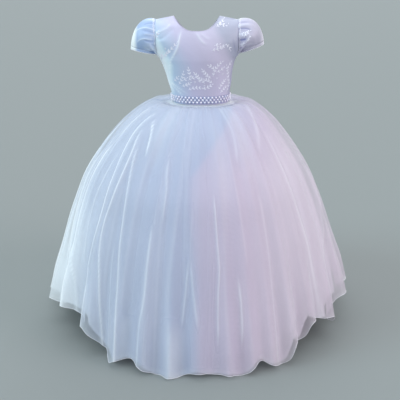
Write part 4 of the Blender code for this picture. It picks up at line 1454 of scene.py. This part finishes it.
@dataclass
class Sleeves:
    """Two short puff sleeves, gathered into the armhole, with narrow bands."""

    finish: SatinFinish
    trim: CordFinish
    wall: float = 1.2 * MM
    columns: int = 220
    rows: int = 34
    overlap: float = 0.8 * MM
    band_gap: float = 0.8 * MM
    cuff_centre: tuple[float, float, float] = (0.1790, 0, -0.1030)
    cuff_half_width: float = 0.0385
    cuff_half_depth: float = 0.0370
    cuff_tilt: float = 0.0085
    raised_right: float = 0.006
    lifted_right: float = 0.004
    cuff_height: float = 8 * MM
    cuff_wall: float = 1.5 * MM
    scallops: int = 34
    seam_loops: int = 40
    thread: float = 0.6 * MM
    picot_overlap: float = 1.2 * MM
    picot_depth: float = 2.6 * MM
    picot_lift: float = 0.7 * MM
    trim_share: float = 0.035
    trim_depth: float = 0.022
    trim_uneven: float = 0.4
    trim_lift: float = 0.4 * MM
    reach: Swell = Swell(0.027, 0.022)
    fall: Swell = Swell(0.0285, 0.0265)
    head: Swell = Swell(0.005, 0.006, 0.017)
    puff: Swell = Swell(-0.004, -0.004, 0.026)
    near_reach: float = 0.30
    far_reach: float = 0.16
    wide_gathers: Strength = Strength(5.5 * MM, 2.4 * MM, 1.3 * MM)
    fine_gathers: Strength = Strength(2.0 * MM, 0.9 * MM)
    # Painted highlight on the ridges of the gathers and painted shade in their troughs
    gather_painted_light: Strength = Strength(0.75, 0.2, 0.1)
    calm_front: float = 0.65
    # Painted light on each sleeve's underside and along its armhole seam, over their shade
    underside_painted_light: dict[Side, float] = field(default_factory=lambda: {Side.LEFT: 0.55, Side.RIGHT: 0.15})
    seam_painted_light: float = 0.3
    seam_reach: float = 0.06

    def place(self, turn: np.ndarray, share: np.ndarray, lift: np.ndarray, side: Side) -> np.ndarray:
        """Places on a sleeve, as if it were the right one: turn 0 is over the shoulder, share 0
        the armhole. The right band's outer side is held a little higher than the left one's."""
        c, s = np.cos(turn), np.sin(turn)
        zero = np.zeros_like(c)
        drop = (SHOULDER_DROP + UNDERARM_DROP) / 2 - (UNDERARM_DROP - SHOULDER_DROP) / 2 * c
        armhole = BODICE.at("half_width", drop) + BODICE_WALL - self.overlap
        start = np.stack([armhole, -ARMHOLE_HALF_DEPTH * s, -drop], axis=-1)
        raised = self.raised_right if side is Side.RIGHT else 0.0
        lifted = self.lifted_right if side is Side.RIGHT else 0.0
        tilt = (self.cuff_tilt + raised) * c + raised + lifted
        around = np.stack([self.cuff_half_width * c, -self.cuff_half_depth * s, tilt], axis=-1)
        end = np.array(self.cuff_centre) + around
        up_out = np.stack([zero, -s, c], axis=-1)
        flat_out = np.stack([c, -s, zero], axis=-1)
        first = start + np.array([1, 0, 0]) * self.reach.at(c, s) + up_out * self.head.at(c, s)
        second = end + np.array([0, 0, 1]) * self.fall.at(c, s) + flat_out * self.puff.at(c, s)
        f = np.broadcast_to(share, c.shape)[..., None]
        g = 1 - f
        point = start * g**3 + first * 3 * g * g * f + second * 3 * g * f * f + end * f**3
        outward = up_out * g + flat_out * f
        outward /= np.linalg.norm(outward, axis=-1, keepdims=True)
        return point + outward * np.broadcast_to(lift, c.shape)[..., None]

    def gather(self, turn: np.ndarray, share: np.ndarray, side: Side) -> tuple[np.ndarray, np.ndarray]:
        """Height of the gathers, deep at the seams and uneven between, and their painted highlight
        and painted shade, with painted light on the underside and by the armhole seam. The ones on
        the front are listed one by one, over shallow ones like those of the back."""
        seed = 40 + 7 * side.value
        upper = np.clip((np.cos(turn) + 0.75) / 0.5, 0, 1)
        part = turn / (2 * math.pi)
        bend = part + 0.012 * np.sin(share * 2.4)
        wide = wavy(bend, 31, seed)
        fine = wavy(bend, 58, seed + 1)
        near = np.exp(-((share / self.near_reach) ** 2))
        far = np.exp(-(((1 - share) / self.far_reach) ** 2))
        height = self.wide_gathers.at(near, far) * wide + self.fine_gathers.at(near, far) * fine
        # Painted highlight on the ridges of the gathers and painted shade in their troughs
        shine = np.where(wide > 0, wide * wide * 0.6, wide * 1.1) * self.gather_painted_light.at(near, far)
        held = np.sin(math.pi * np.clip(share, 0.02, 0.98)) ** 0.35
        own = upper * (1 - self.calm_front * soft_step(2 * np.sin(turn)))
        height, shine = height * own, shine * own
        for fold in SLEEVE_FOLDS[side]:
            lift, line = fold.relief(np.degrees(turn), share, SLEEVE_GIRTH_RADIUS, SLEEVE_LENGTH)
            height, shine = height + lift, shine + line
        # Painted light on the underside of the puff and along the armhole seam, over their shade
        under = soft_step((np.degrees(turn) - 75) / 60) * soft_step(2 * np.sin(turn))
        shine = shine + self.underside_painted_light[side] * under
        shine = shine + self.seam_painted_light * np.exp(-((share / self.seam_reach) ** 2))
        return height * held, np.clip(shine, -1, 1)

    def to_side(self, points: np.ndarray, side: Side) -> np.ndarray:
        """Moves places of the right sleeve to a side, with the bodice's lean."""
        lean = BODICE.at("lean", -points[..., 2])
        moved = points * np.array([side.value, 1, 1])
        moved[..., 0] += lean
        return moved[:, ::-1] if side is Side.LEFT else moved

    def build(self) -> list[bpy.types.Object]:
        """Makes both sleeves, their bands and the small looped trim of the bands."""
        surface, trim = self.finish.make(), self.trim.make()
        pieces = []
        turns = np.linspace(0, 2 * math.pi, self.columns, endpoint=False)
        turn, share = np.meshgrid(turns, np.linspace(0, 1, self.rows))
        for side in Side:
            word = side.name.lower()
            height, shine = self.gather(turn, share, side)
            outer = self.to_side(self.place(turn, share, height + self.wall, side), side)
            inner = self.to_side(self.place(turn, share, height, side), side)
            shine = shine[:, ::-1] if side is Side.LEFT else shine
            uv = flat_places(outer, True)
            made = Loft(f"sleeve_{word}_satin", outer, uv, shine, inner, True).build()
            finish_piece(made, surface, [f"sleeve_{word}"])
            pieces.append(made)
            pieces.append(self.band(side, word, turns, surface))
            pieces.append(self.picot(side, word, trim))
            pieces.append(self.seam_trim(side, word, trim))
        return pieces

    def band(
        self, side: Side, word: str, turns: np.ndarray, surface: bpy.types.Material
    ) -> bpy.types.Object:
        """Makes the narrow band at a sleeve's end."""
        downs = np.linspace(self.band_gap, self.band_gap + self.cuff_height, 9)
        turn, down = np.meshgrid(turns, downs)
        bulge = 0.6 * MM * np.sin(math.pi * (down - downs[0]) / self.cuff_height)
        outer = self.place(turn, np.ones_like(turn), self.cuff_wall + bulge, side)
        inner = self.place(turn, np.ones_like(turn), np.zeros_like(turn), side)
        outer[..., 2] -= down
        inner[..., 2] -= down
        outer, inner = self.to_side(outer, side), self.to_side(inner, side)
        made = Loft(f"cuff_{word}_satin", outer, flat_places(outer, True), None, inner, True).build()
        finish_piece(made, surface, [f"cuff_{word}"])
        return made

    def picot(self, side: Side, word: str, surface: bpy.types.Material) -> bpy.types.Object:
        """Makes the row of small thread loops along a band's lower edge."""
        turn = np.linspace(0, 2 * math.pi, self.scallops * 8, endpoint=False)
        down = self.band_gap + self.cuff_height - self.picot_overlap
        down = down + self.picot_depth * np.abs(np.sin(turn * self.scallops / 2))
        lift = np.full_like(turn, self.cuff_wall + self.picot_lift)
        points = self.place(turn, np.ones_like(turn), lift, side)
        points[:, 2] -= down
        return self.sew(f"cuff_{word}_picot", points, side, surface)

    def seam_trim(self, side: Side, word: str, surface: bpy.types.Material) -> bpy.types.Object:
        """Makes the thread that edges the armhole seam in small uneven loops."""
        turn = np.linspace(0, 2 * math.pi, self.seam_loops * 8, endpoint=False)
        share = self.trim_share + self.trim_depth * np.abs(np.sin(turn * self.seam_loops / 2))
        uneven = wavy(turn / (2 * math.pi), 23, seed=50 + side.value)
        share = share * (1 + self.trim_uneven * uneven)
        height, _ = self.gather(turn, share, side)
        points = self.place(turn, share, height + self.wall + self.trim_lift, side)
        return self.sew(f"sleeve_{word}_seam_trim", points, side, surface)

    def sew(
        self, name: str, points: np.ndarray, side: Side, surface: bpy.types.Material
    ) -> bpy.types.Object:
        """Makes a closed line of trimming thread through places of the right sleeve."""
        made = lay_cords(name, [Cord(self.to_side(points[None], side)[0], True)], self.thread)
        return finish_piece(made, surface, [])


# Belt


@dataclass
class PearlBelt:
    """A band with three staggered rows of pearls, joined by seed beads, open at the back."""

    band_painted_shade_finish: SatinFinish
    pearl_finish: PearlFinish
    top_drop: float = 0.2490
    height: float = 24 * MM
    band: float = 0.6 * MM
    clear: float = 1.9 * MM
    sunk: float = 2.3 * MM
    pearls_in_a_row: int = 45
    pearl_radius: float = 3.4 * MM
    seed_radius: float = 1.3 * MM
    rows_up: tuple[float, ...] = (4.4 * MM, 12 * MM, 19.6 * MM)
    end_gap: float = 1 * MM
    bore_from: float = 0.85
    bore_rim: float = 0.12
    bore_depth: float = 0.16

    def ring(
        self, drop: float, out: float, count: int, offset: float = 0.0
    ) -> tuple[np.ndarray, np.ndarray]:
        """Places evenly spaced round the bodice from the centre back, and directions out."""
        angles = np.linspace(-180, 180, 1441)
        drops = np.full_like(angles, drop)
        normal = torso_normal(angles, drops)
        line = torso(angles, drops) + normal * out
        along = np.concatenate([[0], np.cumsum(np.linalg.norm(np.diff(line, axis=0), axis=1))])
        want = np.linspace(self.end_gap / 2, along[-1] - self.end_gap / 2, count + 1)
        want = want + offset * (want[1] - want[0])
        want = want[(want < along[-1] - self.end_gap / 2 + 1e-6)]
        at = np.stack([np.interp(want, along, line[:, k]) for k in range(3)], axis=1)
        outward = np.stack([np.interp(want, along, normal[:, k]) for k in range(3)], axis=1)
        return at, outward / np.linalg.norm(outward, axis=1, keepdims=True)

    def band_cloth(self) -> bpy.types.Object:
        """Makes the band under the pearls, a little hollow between its edges."""
        outer, inner = [], []
        for up in np.linspace(0, self.height, 9):
            drop = self.top_drop + self.height - up
            edge = abs(up / self.height - 0.5) * 2
            outer.append(self.ring(drop, self.clear + self.band + 0.7 * MM * edge**6, 240)[0])
            inner.append(self.ring(drop, self.clear, 240)[0])
        outer, inner = np.array(outer), np.array(inner)
        return Loft("belt_band", outer, flat_places(outer, False), None, inner).build()

    def bead(self, radius: float, segments: int, rings: int) -> bpy.types.Object:
        """Makes one bead with a sunk bore at both ends, along Y."""
        bpy.ops.object.select_all(action="DESELECT")
        bpy.ops.mesh.primitive_uv_sphere_add(segments=segments, ring_count=rings, radius=radius)
        bead = bpy.context.active_object
        edge = self.bore_from * radius
        sink_faces(bead, lambda at: abs(at.z) > edge, self.bore_rim * radius, -self.bore_depth * radius)
        bead.data.transform(Matrix.Rotation(math.pi / 2, 4, "X"))
        return bead

    def strand(
        self, name: str, radius: float, rings: list[tuple[float, int, float]], sides: tuple[int, int]
    ) -> bpy.types.Object:
        """Makes rows of beads.

        Args:
            name: the piece's name.
            radius: a bead's radius.
            rings: each row's height on the band, count and offset in steps.
            sides: how many sides and rings a bead has.

        Returns:
            The mesh object.
        """
        places, outward = [], []
        for up, count, offset in rings:
            out = self.clear + self.band + radius - self.sunk * radius / self.pearl_radius
            at, normal = self.ring(self.top_drop + self.height - up, out, count, offset)
            places.append(at)
            outward.append(normal)
        places, outward = np.concatenate(places), np.concatenate(outward)
        across = np.cross(outward, np.array([0.0, 0.0, 1.0]))
        return tile(self.bead(radius, *sides), name, places, turns_to(outward, across))

    def build(self) -> list[bpy.types.Object]:
        """Makes the band, the pearls and the seed beads."""
        # The band's dark colour is painted shade between the pearls
        band = finish_piece(self.band_cloth(), self.band_painted_shade_finish.make(), ["belt"])
        n = self.pearls_in_a_row
        low, middle, high = self.rows_up
        surface = self.pearl_finish.make()
        rings = [(low, n, 0.5), (middle, n, 0.999), (high, n, 0.5)]
        pearls = self.strand("belt_pearls", self.pearl_radius, rings, (12, 8))
        finish_piece(pearls, surface, ["belt"])
        halves = [((low + middle) / 2, 2 * n, 0.5), ((middle + high) / 2, 2 * n, 0.5)]
        seeds = self.strand("belt_seed_beads", self.seed_radius, halves, (8, 5))
        finish_piece(seeds, surface, ["belt"])
        return [band, pearls, seeds]


# Back closing


@dataclass
class BackClosing:
    """A buttoned strip over the centre-back opening, with covered buttons and thread loops."""

    finish: SatinFinish
    thread: CordFinish
    width: float = 20 * MM
    wall: float = 1 * MM
    clear: float = 1 * MM
    top_drop: float = 0.0615
    foot_drop: float = 0.2515
    button_radius: float = 5 * MM
    button_height: float = 4.4 * MM
    button_count: int = 6
    button_top: float = 0.070
    button_foot: float = 0.2405
    button_rim: float = 0.4 * MM
    button_tuck: float = 0.3 * MM
    button_lift: float = 0.3 * MM
    loop_from: float = 3 * MM
    loop_reach: float = 3.4 * MM
    loop_rise: float = 4.6 * MM
    loop_lift: float = 1.2 * MM
    loop_radius: float = 0.6 * MM
    stitch: float = 3.2 * MM
    stitch_share: float = 0.65
    stitch_inset: float = 3.5 * MM
    stitch_lift: float = 0.12 * MM
    stitch_radius: float = 0.28 * MM

    def places(self, across: np.ndarray, drop: np.ndarray, lift: float | np.ndarray) -> np.ndarray:
        """Places at a distance from the centre-back line, above the back panels."""
        angle = 180 - np.degrees(np.arcsin(across / BODICE.at("half_width", drop)))
        angle, drop = np.broadcast_arrays(angle, drop)
        out = np.broadcast_to(BODICE_WALL + self.clear + lift, angle.shape)
        return torso(angle, drop) + torso_normal(angle, drop) * out[..., None]

    def strip(self) -> bpy.types.Object:
        """Makes the strip as a thin shell with softly turned edges."""
        across = np.linspace(self.width / 2, -self.width / 2, 25)
        drops = np.linspace(self.foot_drop, self.top_drop, 60)
        wide, drop = np.meshgrid(across, drops)
        ripple = 0.35 * MM * wavy(drop / 0.19 + wide * 8, 17, 61)
        edge = 0.5 * MM * np.exp(-(((np.abs(wide) - self.width / 2 + 2 * MM) / MM) ** 2))
        outer = self.places(wide, drop, self.wall + ripple * 0.5 + edge)
        inner = self.places(wide, drop, 0.0)
        return Loft("back_placket_satin", outer, flat_places(outer, False), None, inner).build()

    def button(self) -> bpy.types.Object:
        """Makes one covered button: a flattened dome with a tucked rim."""
        bpy.ops.object.select_all(action="DESELECT")
        bpy.ops.mesh.primitive_uv_sphere_add(segments=28, ring_count=14, radius=self.button_radius)
        made = bpy.context.active_object
        flat = self.button_height / 2 / self.button_radius
        made.data.transform(Matrix.Diagonal((1, 1, flat, 1)))
        foot = -0.55 * self.button_height / 2
        sink_faces(made, lambda at: at.z < foot, self.button_rim, -self.button_tuck)
        return made

    def build(self) -> list[bpy.types.Object]:
        """Makes the strip, its stitching, the buttons and their loops."""
        surface, thread = self.finish.make(), self.thread.make()
        strip = finish_piece(self.strip(), surface, ["back_placket"])
        drops = np.linspace(self.button_top, self.button_foot, self.button_count)
        angles = np.full_like(drops, 180.0)
        outward = torso_normal(angles, drops)
        lift = self.wall + self.button_height / 2 + self.button_lift
        centres = self.places(np.zeros_like(drops), drops, lift)
        turns = turns_to(outward, np.broadcast_to([0.0, 0.0, 1.0], outward.shape))
        pieces = [strip]
        for number, (centre, turn) in enumerate(zip(centres, turns), 1):
            made = tile(self.button(), f"covered_button_{number}", centre[None], turn[None])
            finish_piece(made, surface, [f"button_{number}"])
            pieces.append(made)
        loops, stitches = [], []
        half = np.linspace(-0.5 * math.pi, 0.5 * math.pi, 12)
        across = self.loop_from + self.loop_reach * np.cos(half)
        rise = self.loop_rise * np.sin(half)
        for drop in drops:
            loops.append(Cord(self.places(across, drop + rise, self.wall + self.loop_lift)))
        for edge in (-1, 1):
            for start in np.arange(self.top_drop + 2 * MM, self.foot_drop - 4 * MM, self.stitch):
                run = np.linspace(start, start + self.stitch_share * self.stitch, 3)
                away = np.full_like(run, edge * (self.width / 2 - self.stitch_inset))
                stitches.append(Cord(self.places(away, run, self.wall + self.stitch_lift)))
        threads = (
            ("button_loops", loops, self.loop_radius),
            ("placket_stitching", stitches, self.stitch_radius),
        )
        for name, cords, radius in threads:
            made = lay_cords(name, cords, radius)
            pieces.append(finish_piece(made, thread, []))
        return pieces


# Embroidered lace


@dataclass(frozen=True)
class BodiceGround:
    """The bodice's outer face round one place, as embroidery is laid on it."""

    angle: float
    drop: float

    def at(self, flat: np.ndarray, lift: np.ndarray | float) -> np.ndarray:
        """Lays flat points on the cloth.

        Args:
            flat: places in metres, x to the viewer's right and y up.
            lift: how far above the cloth they are.

        Returns:
            The points, n by 3.
        """
        drops = self.drop - flat[:, 1]
        angles = np.full(len(flat), float(self.angle))
        for _ in range(8):
            angles = angles + flat[:, 0] / 8 / self.rate(angles, drops)
        return bodice_place(angles, drops, lift)

    def rate(self, angles: np.ndarray, drops: np.ndarray) -> np.ndarray:
        """Metres along the cloth that one degree is."""
        return np.linalg.norm(torso(angles + 0.5, drops) - torso(angles - 0.5, drops), axis=-1)

    def way_to(self, place: tuple[float, float]) -> np.ndarray:
        """The flat place of another angle and drop."""
        middle, drop = (self.angle + place[0]) / 2, (self.drop + place[1]) / 2
        rate = self.rate(np.array(middle), np.array(drop))
        return np.array([(place[0] - self.angle) * rate, self.drop - place[1]])


@dataclass(frozen=True)
class SleeveGround:
    """The right sleeve's outer face round one place."""

    turn: float
    share: float
    sleeves: Sleeves

    def at(self, flat: np.ndarray, lift: np.ndarray | float) -> np.ndarray:
        """Lays flat points on the cloth, as on the bodice."""
        turn = math.radians(self.turn) - flat[:, 1] / SLEEVE_GIRTH_RADIUS
        share = np.clip(self.share + flat[:, 0] / SLEEVE_LENGTH, 0.0, 1.0)
        height, _ = self.sleeves.gather(turn, share, Side.RIGHT)
        out = height + self.sleeves.wall + lift
        return self.sleeves.to_side(self.sleeves.place(turn, share, out, Side.RIGHT), Side.RIGHT)

    def way_to(self, place: tuple[float, float]) -> np.ndarray:
        """The flat place of another turn and share."""
        across = (place[1] - self.share) * SLEEVE_LENGTH
        return np.array([across, math.radians(self.turn - place[0]) * SLEEVE_GIRTH_RADIUS])


@dataclass(frozen=True)
class Spray:
    """A stem with pairs of leaves between two places, an angle and a drop each, or a turn and a
    share on a sleeve. Bend is how far in mm the stem bows to the right of its way."""

    root: tuple[float, float]
    tip: tuple[float, float]
    bend: float
    pairs: int


@dataclass(frozen=True)
class Blossom:
    """A five-petalled blossom at a place, with its radius in mm."""

    place: tuple[float, float]
    radius: float


SLEEVE_MOTIF = "lace_sleeve_right"
MOTIFS: dict[str, tuple[Spray | Blossom, ...]] = {
    "lace_side_left": (
        Spray((-67, 0.1300), (-31, 0.0745), 4, 5),
        Spray((-72, 0.1520), (-62, 0.1100), -2, 3),
        Spray((-56, 0.1260), (-40, 0.0980), -2, 3),
        Spray((-82, 0.0660), (-70, 0.0470), 1, 2),
        Blossom((-50, 0.0960), 3.8),
    ),
    "lace_chest_right": (
        Spray((20, 0.1000), (43, 0.0840), 3, 4),
        Spray((43, 0.0840), (54, 0.1010), -3, 2),
        Spray((24, 0.0860), (33, 0.0810), 1, 1),
        Blossom((37, 0.0930), 3.6),
    ),
    "lace_shoulder_right": (
        Spray((27.5, 0.0310), (41, 0.0080), 2, 3),
        Spray((30, 0.0170), (45, 0.0270), 1, 2),
        Blossom((50, 0.0220), 3.2),
    ),
    "lace_front_left": (
        Spray((-41, 0.2120), (-25, 0.1690), 3, 4),
        Spray((-35, 0.2160), (-16, 0.2040), 2, 3),
        Spray((-52, 0.2020), (-38, 0.1860), 1, 2),
        Spray((-23, 0.2280), (4, 0.2210), -4, 4),
        Spray((-30, 0.1960), (-21, 0.1880), 1, 1),
        Blossom((-23, 0.2110), 4.2),
    ),
    "lace_front_middle": (
        Spray((1, 0.2040), (-7, 0.1720), 3, 4),
        Spray((-13, 0.1900), (-16, 0.1560), -2, 3),
        Spray((-20, 0.1960), (-6, 0.1860), -2, 2),
        Spray((4, 0.2240), (23, 0.2100), 2, 3),
        Spray((9, 0.2060), (1, 0.1890), 1, 2),
        Blossom((-8, 0.2010), 3.8),
        Blossom((8, 0.2130), 3.4),
    ),
    "lace_front_right": (
        Spray((24.5, 0.1840), (41, 0.1370), -7, 5),
        Spray((21, 0.1900), (6, 0.1610), -2, 4),
        Spray((23, 0.2060), (9, 0.1920), 2, 3),
        Spray((27, 0.1620), (16, 0.1470), 2, 2),
        Spray((30, 0.1700), (46, 0.1560), 2, 2),
        Blossom((15, 0.1830), 4.0),
        Blossom((32, 0.1900), 3.4),
    ),
    "lace_side_right": (
        Spray((62, 0.2090), (51, 0.1520), 4, 5),
        Spray((36, 0.2300), (52, 0.1980), -3, 4),
        Spray((60, 0.2380), (66, 0.2050), 2, 3),
        Spray((41, 0.2400), (58, 0.2200), -2, 3),
        Spray((54, 0.1640), (62, 0.1420), 1, 2),
        Blossom((44, 0.1780), 3.8),
    ),
    SLEEVE_MOTIF: (
        Spray((72, 0.07), (64, 0.36), 4, 3),
        Spray((74, 0.40), (94, 0.44), -3, 2),
        Spray((104, 0.08), (101, 0.30), 2, 2),
        Blossom((79, 0.22), 4.2),
    ),
}


@dataclass
class Lace:
    """Corded lace motifs of ordinary leaves and five-petalled blossoms, sewn on the bodice and
    on the right sleeve."""

    finish: CordFinish
    sleeves: Sleeves
    cord: float = 0.6 * MM
    lift: float = 0.15 * MM
    padding: float = 0.9 * MM
    leaf_length: float = 9.5 * MM
    leaf_width: float = 3.1 * MM
    leaf_lean: float = 40
    least_leaf: float = 0.7
    longer_leaf: float = 0.35
    end_leaf: float = 0.8
    end_overlap: float = 0.3
    petals: int = 5
    petal: float = 0.10
    petal_root: float = 0.22
    centre: float = 0.2
    place_turn: float = 11
    steps_along: int = 8
    steps_across: int = 5

    def ground(self, name: str, place: tuple[float, float]) -> BodiceGround | SleeveGround:
        """The cloth round a motif's place."""
        if name == SLEEVE_MOTIF:
            return SleeveGround(*place, self.sleeves)
        return BodiceGround(*place)

    def leaf(
        self, ground: BodiceGround | SleeveGround, root: np.ndarray, turn: float, size: float
    ) -> np.ndarray:
        """One leaf or petal in padded satin stitch.

        Args:
            ground: the cloth round the motif.
            root: the leaf's root, in the flat.
            turn: its direction, in radians from straight up.
            size: its length as a share of a full leaf's.

        Returns:
            The leaf's points, in rows from root to tip.
        """
        along = np.array([math.sin(turn), math.cos(turn)])
        across = np.array([along[1], -along[0]])
        rows, columns = self.steps_along, self.steps_across
        t, u = np.meshgrid(np.linspace(0, 1, rows), np.linspace(-1, 1, columns), indexing="ij")
        full = np.sin(math.pi * t**0.8)
        wide = full**0.85 * self.leaf_width / 2 * size
        flat = root + (t * self.leaf_length * size)[..., None] * along
        flat = flat + (u * wide)[..., None] * across
        height = self.lift + self.padding * (1 - u * u) * np.sqrt(np.clip(full, 0, None))
        return ground.at(flat.reshape(-1, 2), height.reshape(-1)).reshape(rows, columns, 3)

    def spray(self, name: str, row: Spray) -> tuple[list[np.ndarray], list[Cord]]:
        """The leaves and the stem of one spray."""
        ground = self.ground(name, row.root)
        way = ground.way_to(row.tip)
        right = np.array([way[1], -way[0]]) / np.linalg.norm(way)
        steps = 2 * row.pairs + 1
        t = np.linspace(0, 1, steps + 1)[:, None]
        stem = t * way + 4 * t * (1 - t) * row.bend * MM * right
        leaves = []
        for i in range(1, steps):
            ahead = stem[i + 1] - stem[i - 1]
            heading = math.atan2(ahead[0], ahead[1])
            size = self.least_leaf + self.longer_leaf * math.sin(math.pi * i / steps)
            for side in (-1, 1) if i % 2 else ():
                lean = side * math.radians(self.leaf_lean)
                leaves.append(self.leaf(ground, stem[i], heading + lean, size))
        ahead = stem[-1] - stem[-2]
        heading = math.atan2(ahead[0], ahead[1])
        leaves.append(self.leaf(ground, stem[-1] - self.end_overlap * ahead, heading, self.end_leaf))
        return leaves, [Cord(ground.at(stem, self.lift))]

    def blossom(self, name: str, row: Blossom) -> tuple[list[np.ndarray], list[Cord]]:
        """The petals of one blossom and its ringed centre."""
        ground = self.ground(name, row.place)
        petals = []
        for petal in range(self.petals):
            turn = math.radians(360 / self.petals * petal + self.place_turn * row.place[0])
            root = np.array([math.sin(turn), math.cos(turn)]) * self.petal_root * row.radius * MM
            petals.append(self.leaf(ground, root, turn, row.radius * self.petal))
        t = np.linspace(0, 2 * math.pi, 9, endpoint=False)
        centre = np.stack([np.cos(t), np.sin(t)], axis=1) * self.centre * row.radius * MM
        return petals, [Cord(ground.at(centre, self.lift), True)]

    def build(self) -> list[bpy.types.Object]:
        """Makes the stems and the leaves of each group of motifs."""
        surface = self.finish.make()
        pieces = []
        for name, rows in MOTIFS.items():
            motifs = [
                self.spray(name, row) if isinstance(row, Spray) else self.blossom(name, row)
                for row in rows
            ]
            leaves = [leaf for motif in motifs for leaf in motif[0]]
            cords = [cord for motif in motifs for cord in motif[1]]
            nodes = [] if name == SLEEVE_MOTIF else [name]
            stems = lay_cords(f"{name}_stems", cords, self.cord)
            pieces.append(finish_piece(stems, surface, nodes))
            sewn = sew_patches(f"{name}_leaves", leaves)
            pieces.append(finish_piece(sewn, surface, nodes))
        return pieces


# Studio


@dataclass
class Studio:
    """Plain pale floor, soft lights and the camera at the photograph's angle."""

    floor: FloorFinish
    floor_drop: float = 0.004
    floor_radius: float = 40.0
    camera_place: tuple[float, float, float] = (0.0077, -2.55, 0.223)
    camera_tilt: float = 71.46
    lens: float = 68.68
    sensor: float = 36.0
    sky_colour: str = "#E3E8EA"
    sky_strength: float = 0.9
    lights: tuple[tuple[str, tuple[float, float, float], float, float, str], ...] = (
        ("cool_key", (-0.85, -0.25, 0.5), 1.3, 35.0, "#D9F5FF"),
        ("warm_fill", (0.85, -0.35, 0.4), 1.1, 40.0, "#FFF4FA"),
        ("front_fill", (0.0, -0.8, 0.6), 0.3, 50.0, "#F4F6FF"),
        ("top", (-0.1, 0.1, 1.0), 1.1, 45.0, "#EEF8FF"),
        ("back_rim", (0.1, 0.9, 0.5), 0.5, 40.0, "#EEF9FF"),
    )

    def build(self) -> None:
        """Makes the floor, the world, the lights and the camera."""
        bpy.ops.object.select_all(action="DESELECT")
        level = CAD_BOX[0].z - self.floor_drop
        bpy.ops.mesh.primitive_circle_add(
            vertices=96, radius=self.floor_radius, fill_type="NGON", location=(0, 0, level)
        )
        ground = bpy.context.active_object
        ground.name = "studio_floor"
        ground.data.materials.append(self.floor.make())
        world = bpy.data.worlds.new("soft_white_room")
        world.use_nodes = True
        sky = world.node_tree.nodes["Background"]
        sky.inputs["Color"].default_value = linear(self.sky_colour)
        sky.inputs["Strength"].default_value = self.sky_strength
        bpy.context.scene.world = world
        bpy.context.scene.view_settings.view_transform = "Standard"
        for name, towards, power, spread, colour in self.lights:
            self.light(name, towards, power, spread, colour)
        self.camera()

    def light(
        self, name: str, towards: tuple[float, float, float], power: float, spread: float, colour: str
    ) -> None:
        """Makes one broad, even light that comes from a direction.

        Args:
            name: the light's name.
            towards: the direction from the dress to the light.
            power: its strength in watts a square metre.
            spread: how broad it is, in degrees, which softens its shadows.
            colour: its sRGB hex colour.
        """
        lamp = bpy.data.lights.new(name, "SUN")
        lamp.energy = power
        lamp.angle = math.radians(spread)
        lamp.color = linear(colour)[:3]
        made = bpy.data.objects.new(name, lamp)
        made.rotation_euler = Vector(towards).to_track_quat("Z", "Y").to_euler()
        bpy.context.scene.collection.objects.link(made)

    def camera(self) -> None:
        """Makes the scene's camera, a little above the dress and pitched down to it."""
        data = bpy.data.cameras.new("camera")
        data.lens = self.lens
        data.sensor_width = self.sensor
        data.clip_end = 200.0
        made = bpy.data.objects.new("camera", data)
        made.location = self.camera_place
        made.rotation_euler = (math.radians(self.camera_tilt), 0.0, 0.0)
        bpy.context.scene.collection.objects.link(made)
        bpy.context.scene.camera = made


def main() -> None:
    logging.basicConfig(level=logging.INFO, format="%(message)s")
    satin = SatinFinish("duchess_satin", BODICE_COLOUR_AND_PAINTED_LIGHT, 0.42)
    puff_satin = SatinFinish("gathered_duchess_satin", SLEEVE_COLOUR_AND_PAINTED_LIGHT, 0.42)
    lining = SatinFinish("polyester_lining_satin", SKIRT_COLOUR_AND_PAINTED_LIGHT, 0.5, ripple=0.1)
    # The belt band's dark colour is painted shade between its pearls
    band = SatinFinish("belt_ribbon_satin_painted_shade", BELT_BAND_PAINTED_SHADE_AND_LIGHT, 0.5)
    cord = CordFinish("rayon_embroidery_cord", "#F4F3FC")
    net = NetFinish("nylon_bobbin_net", SKIRT_COLOUR_AND_PAINTED_LIGHT, 0.34, 0.45)
    under_net = NetFinish("nylon_bobbin_net_double", SKIRT_COLOUR_AND_PAINTED_LIGHT, 0.72, 0.2)
    Tulle(net, cord).build()
    UnderTulle(under_net).build()
    Underskirt(lining).build()
    Bodice(satin).build()
    NeckBinding(satin).build()
    sleeves = Sleeves(puff_satin, cord)
    sleeves.build()
    PearlBelt(band, PearlFinish("nacre_lacquered_bead")).build()
    BackClosing(satin, cord).build()
    Lace(CordFinish("rayon_satin_stitch_thread", "#DEDEEE", "#F2F2FB"), sleeves).build()
    Studio(FloorFinish("matt_floor_paint", "#828786")).build()


if __name__ == "__main__":
    main()
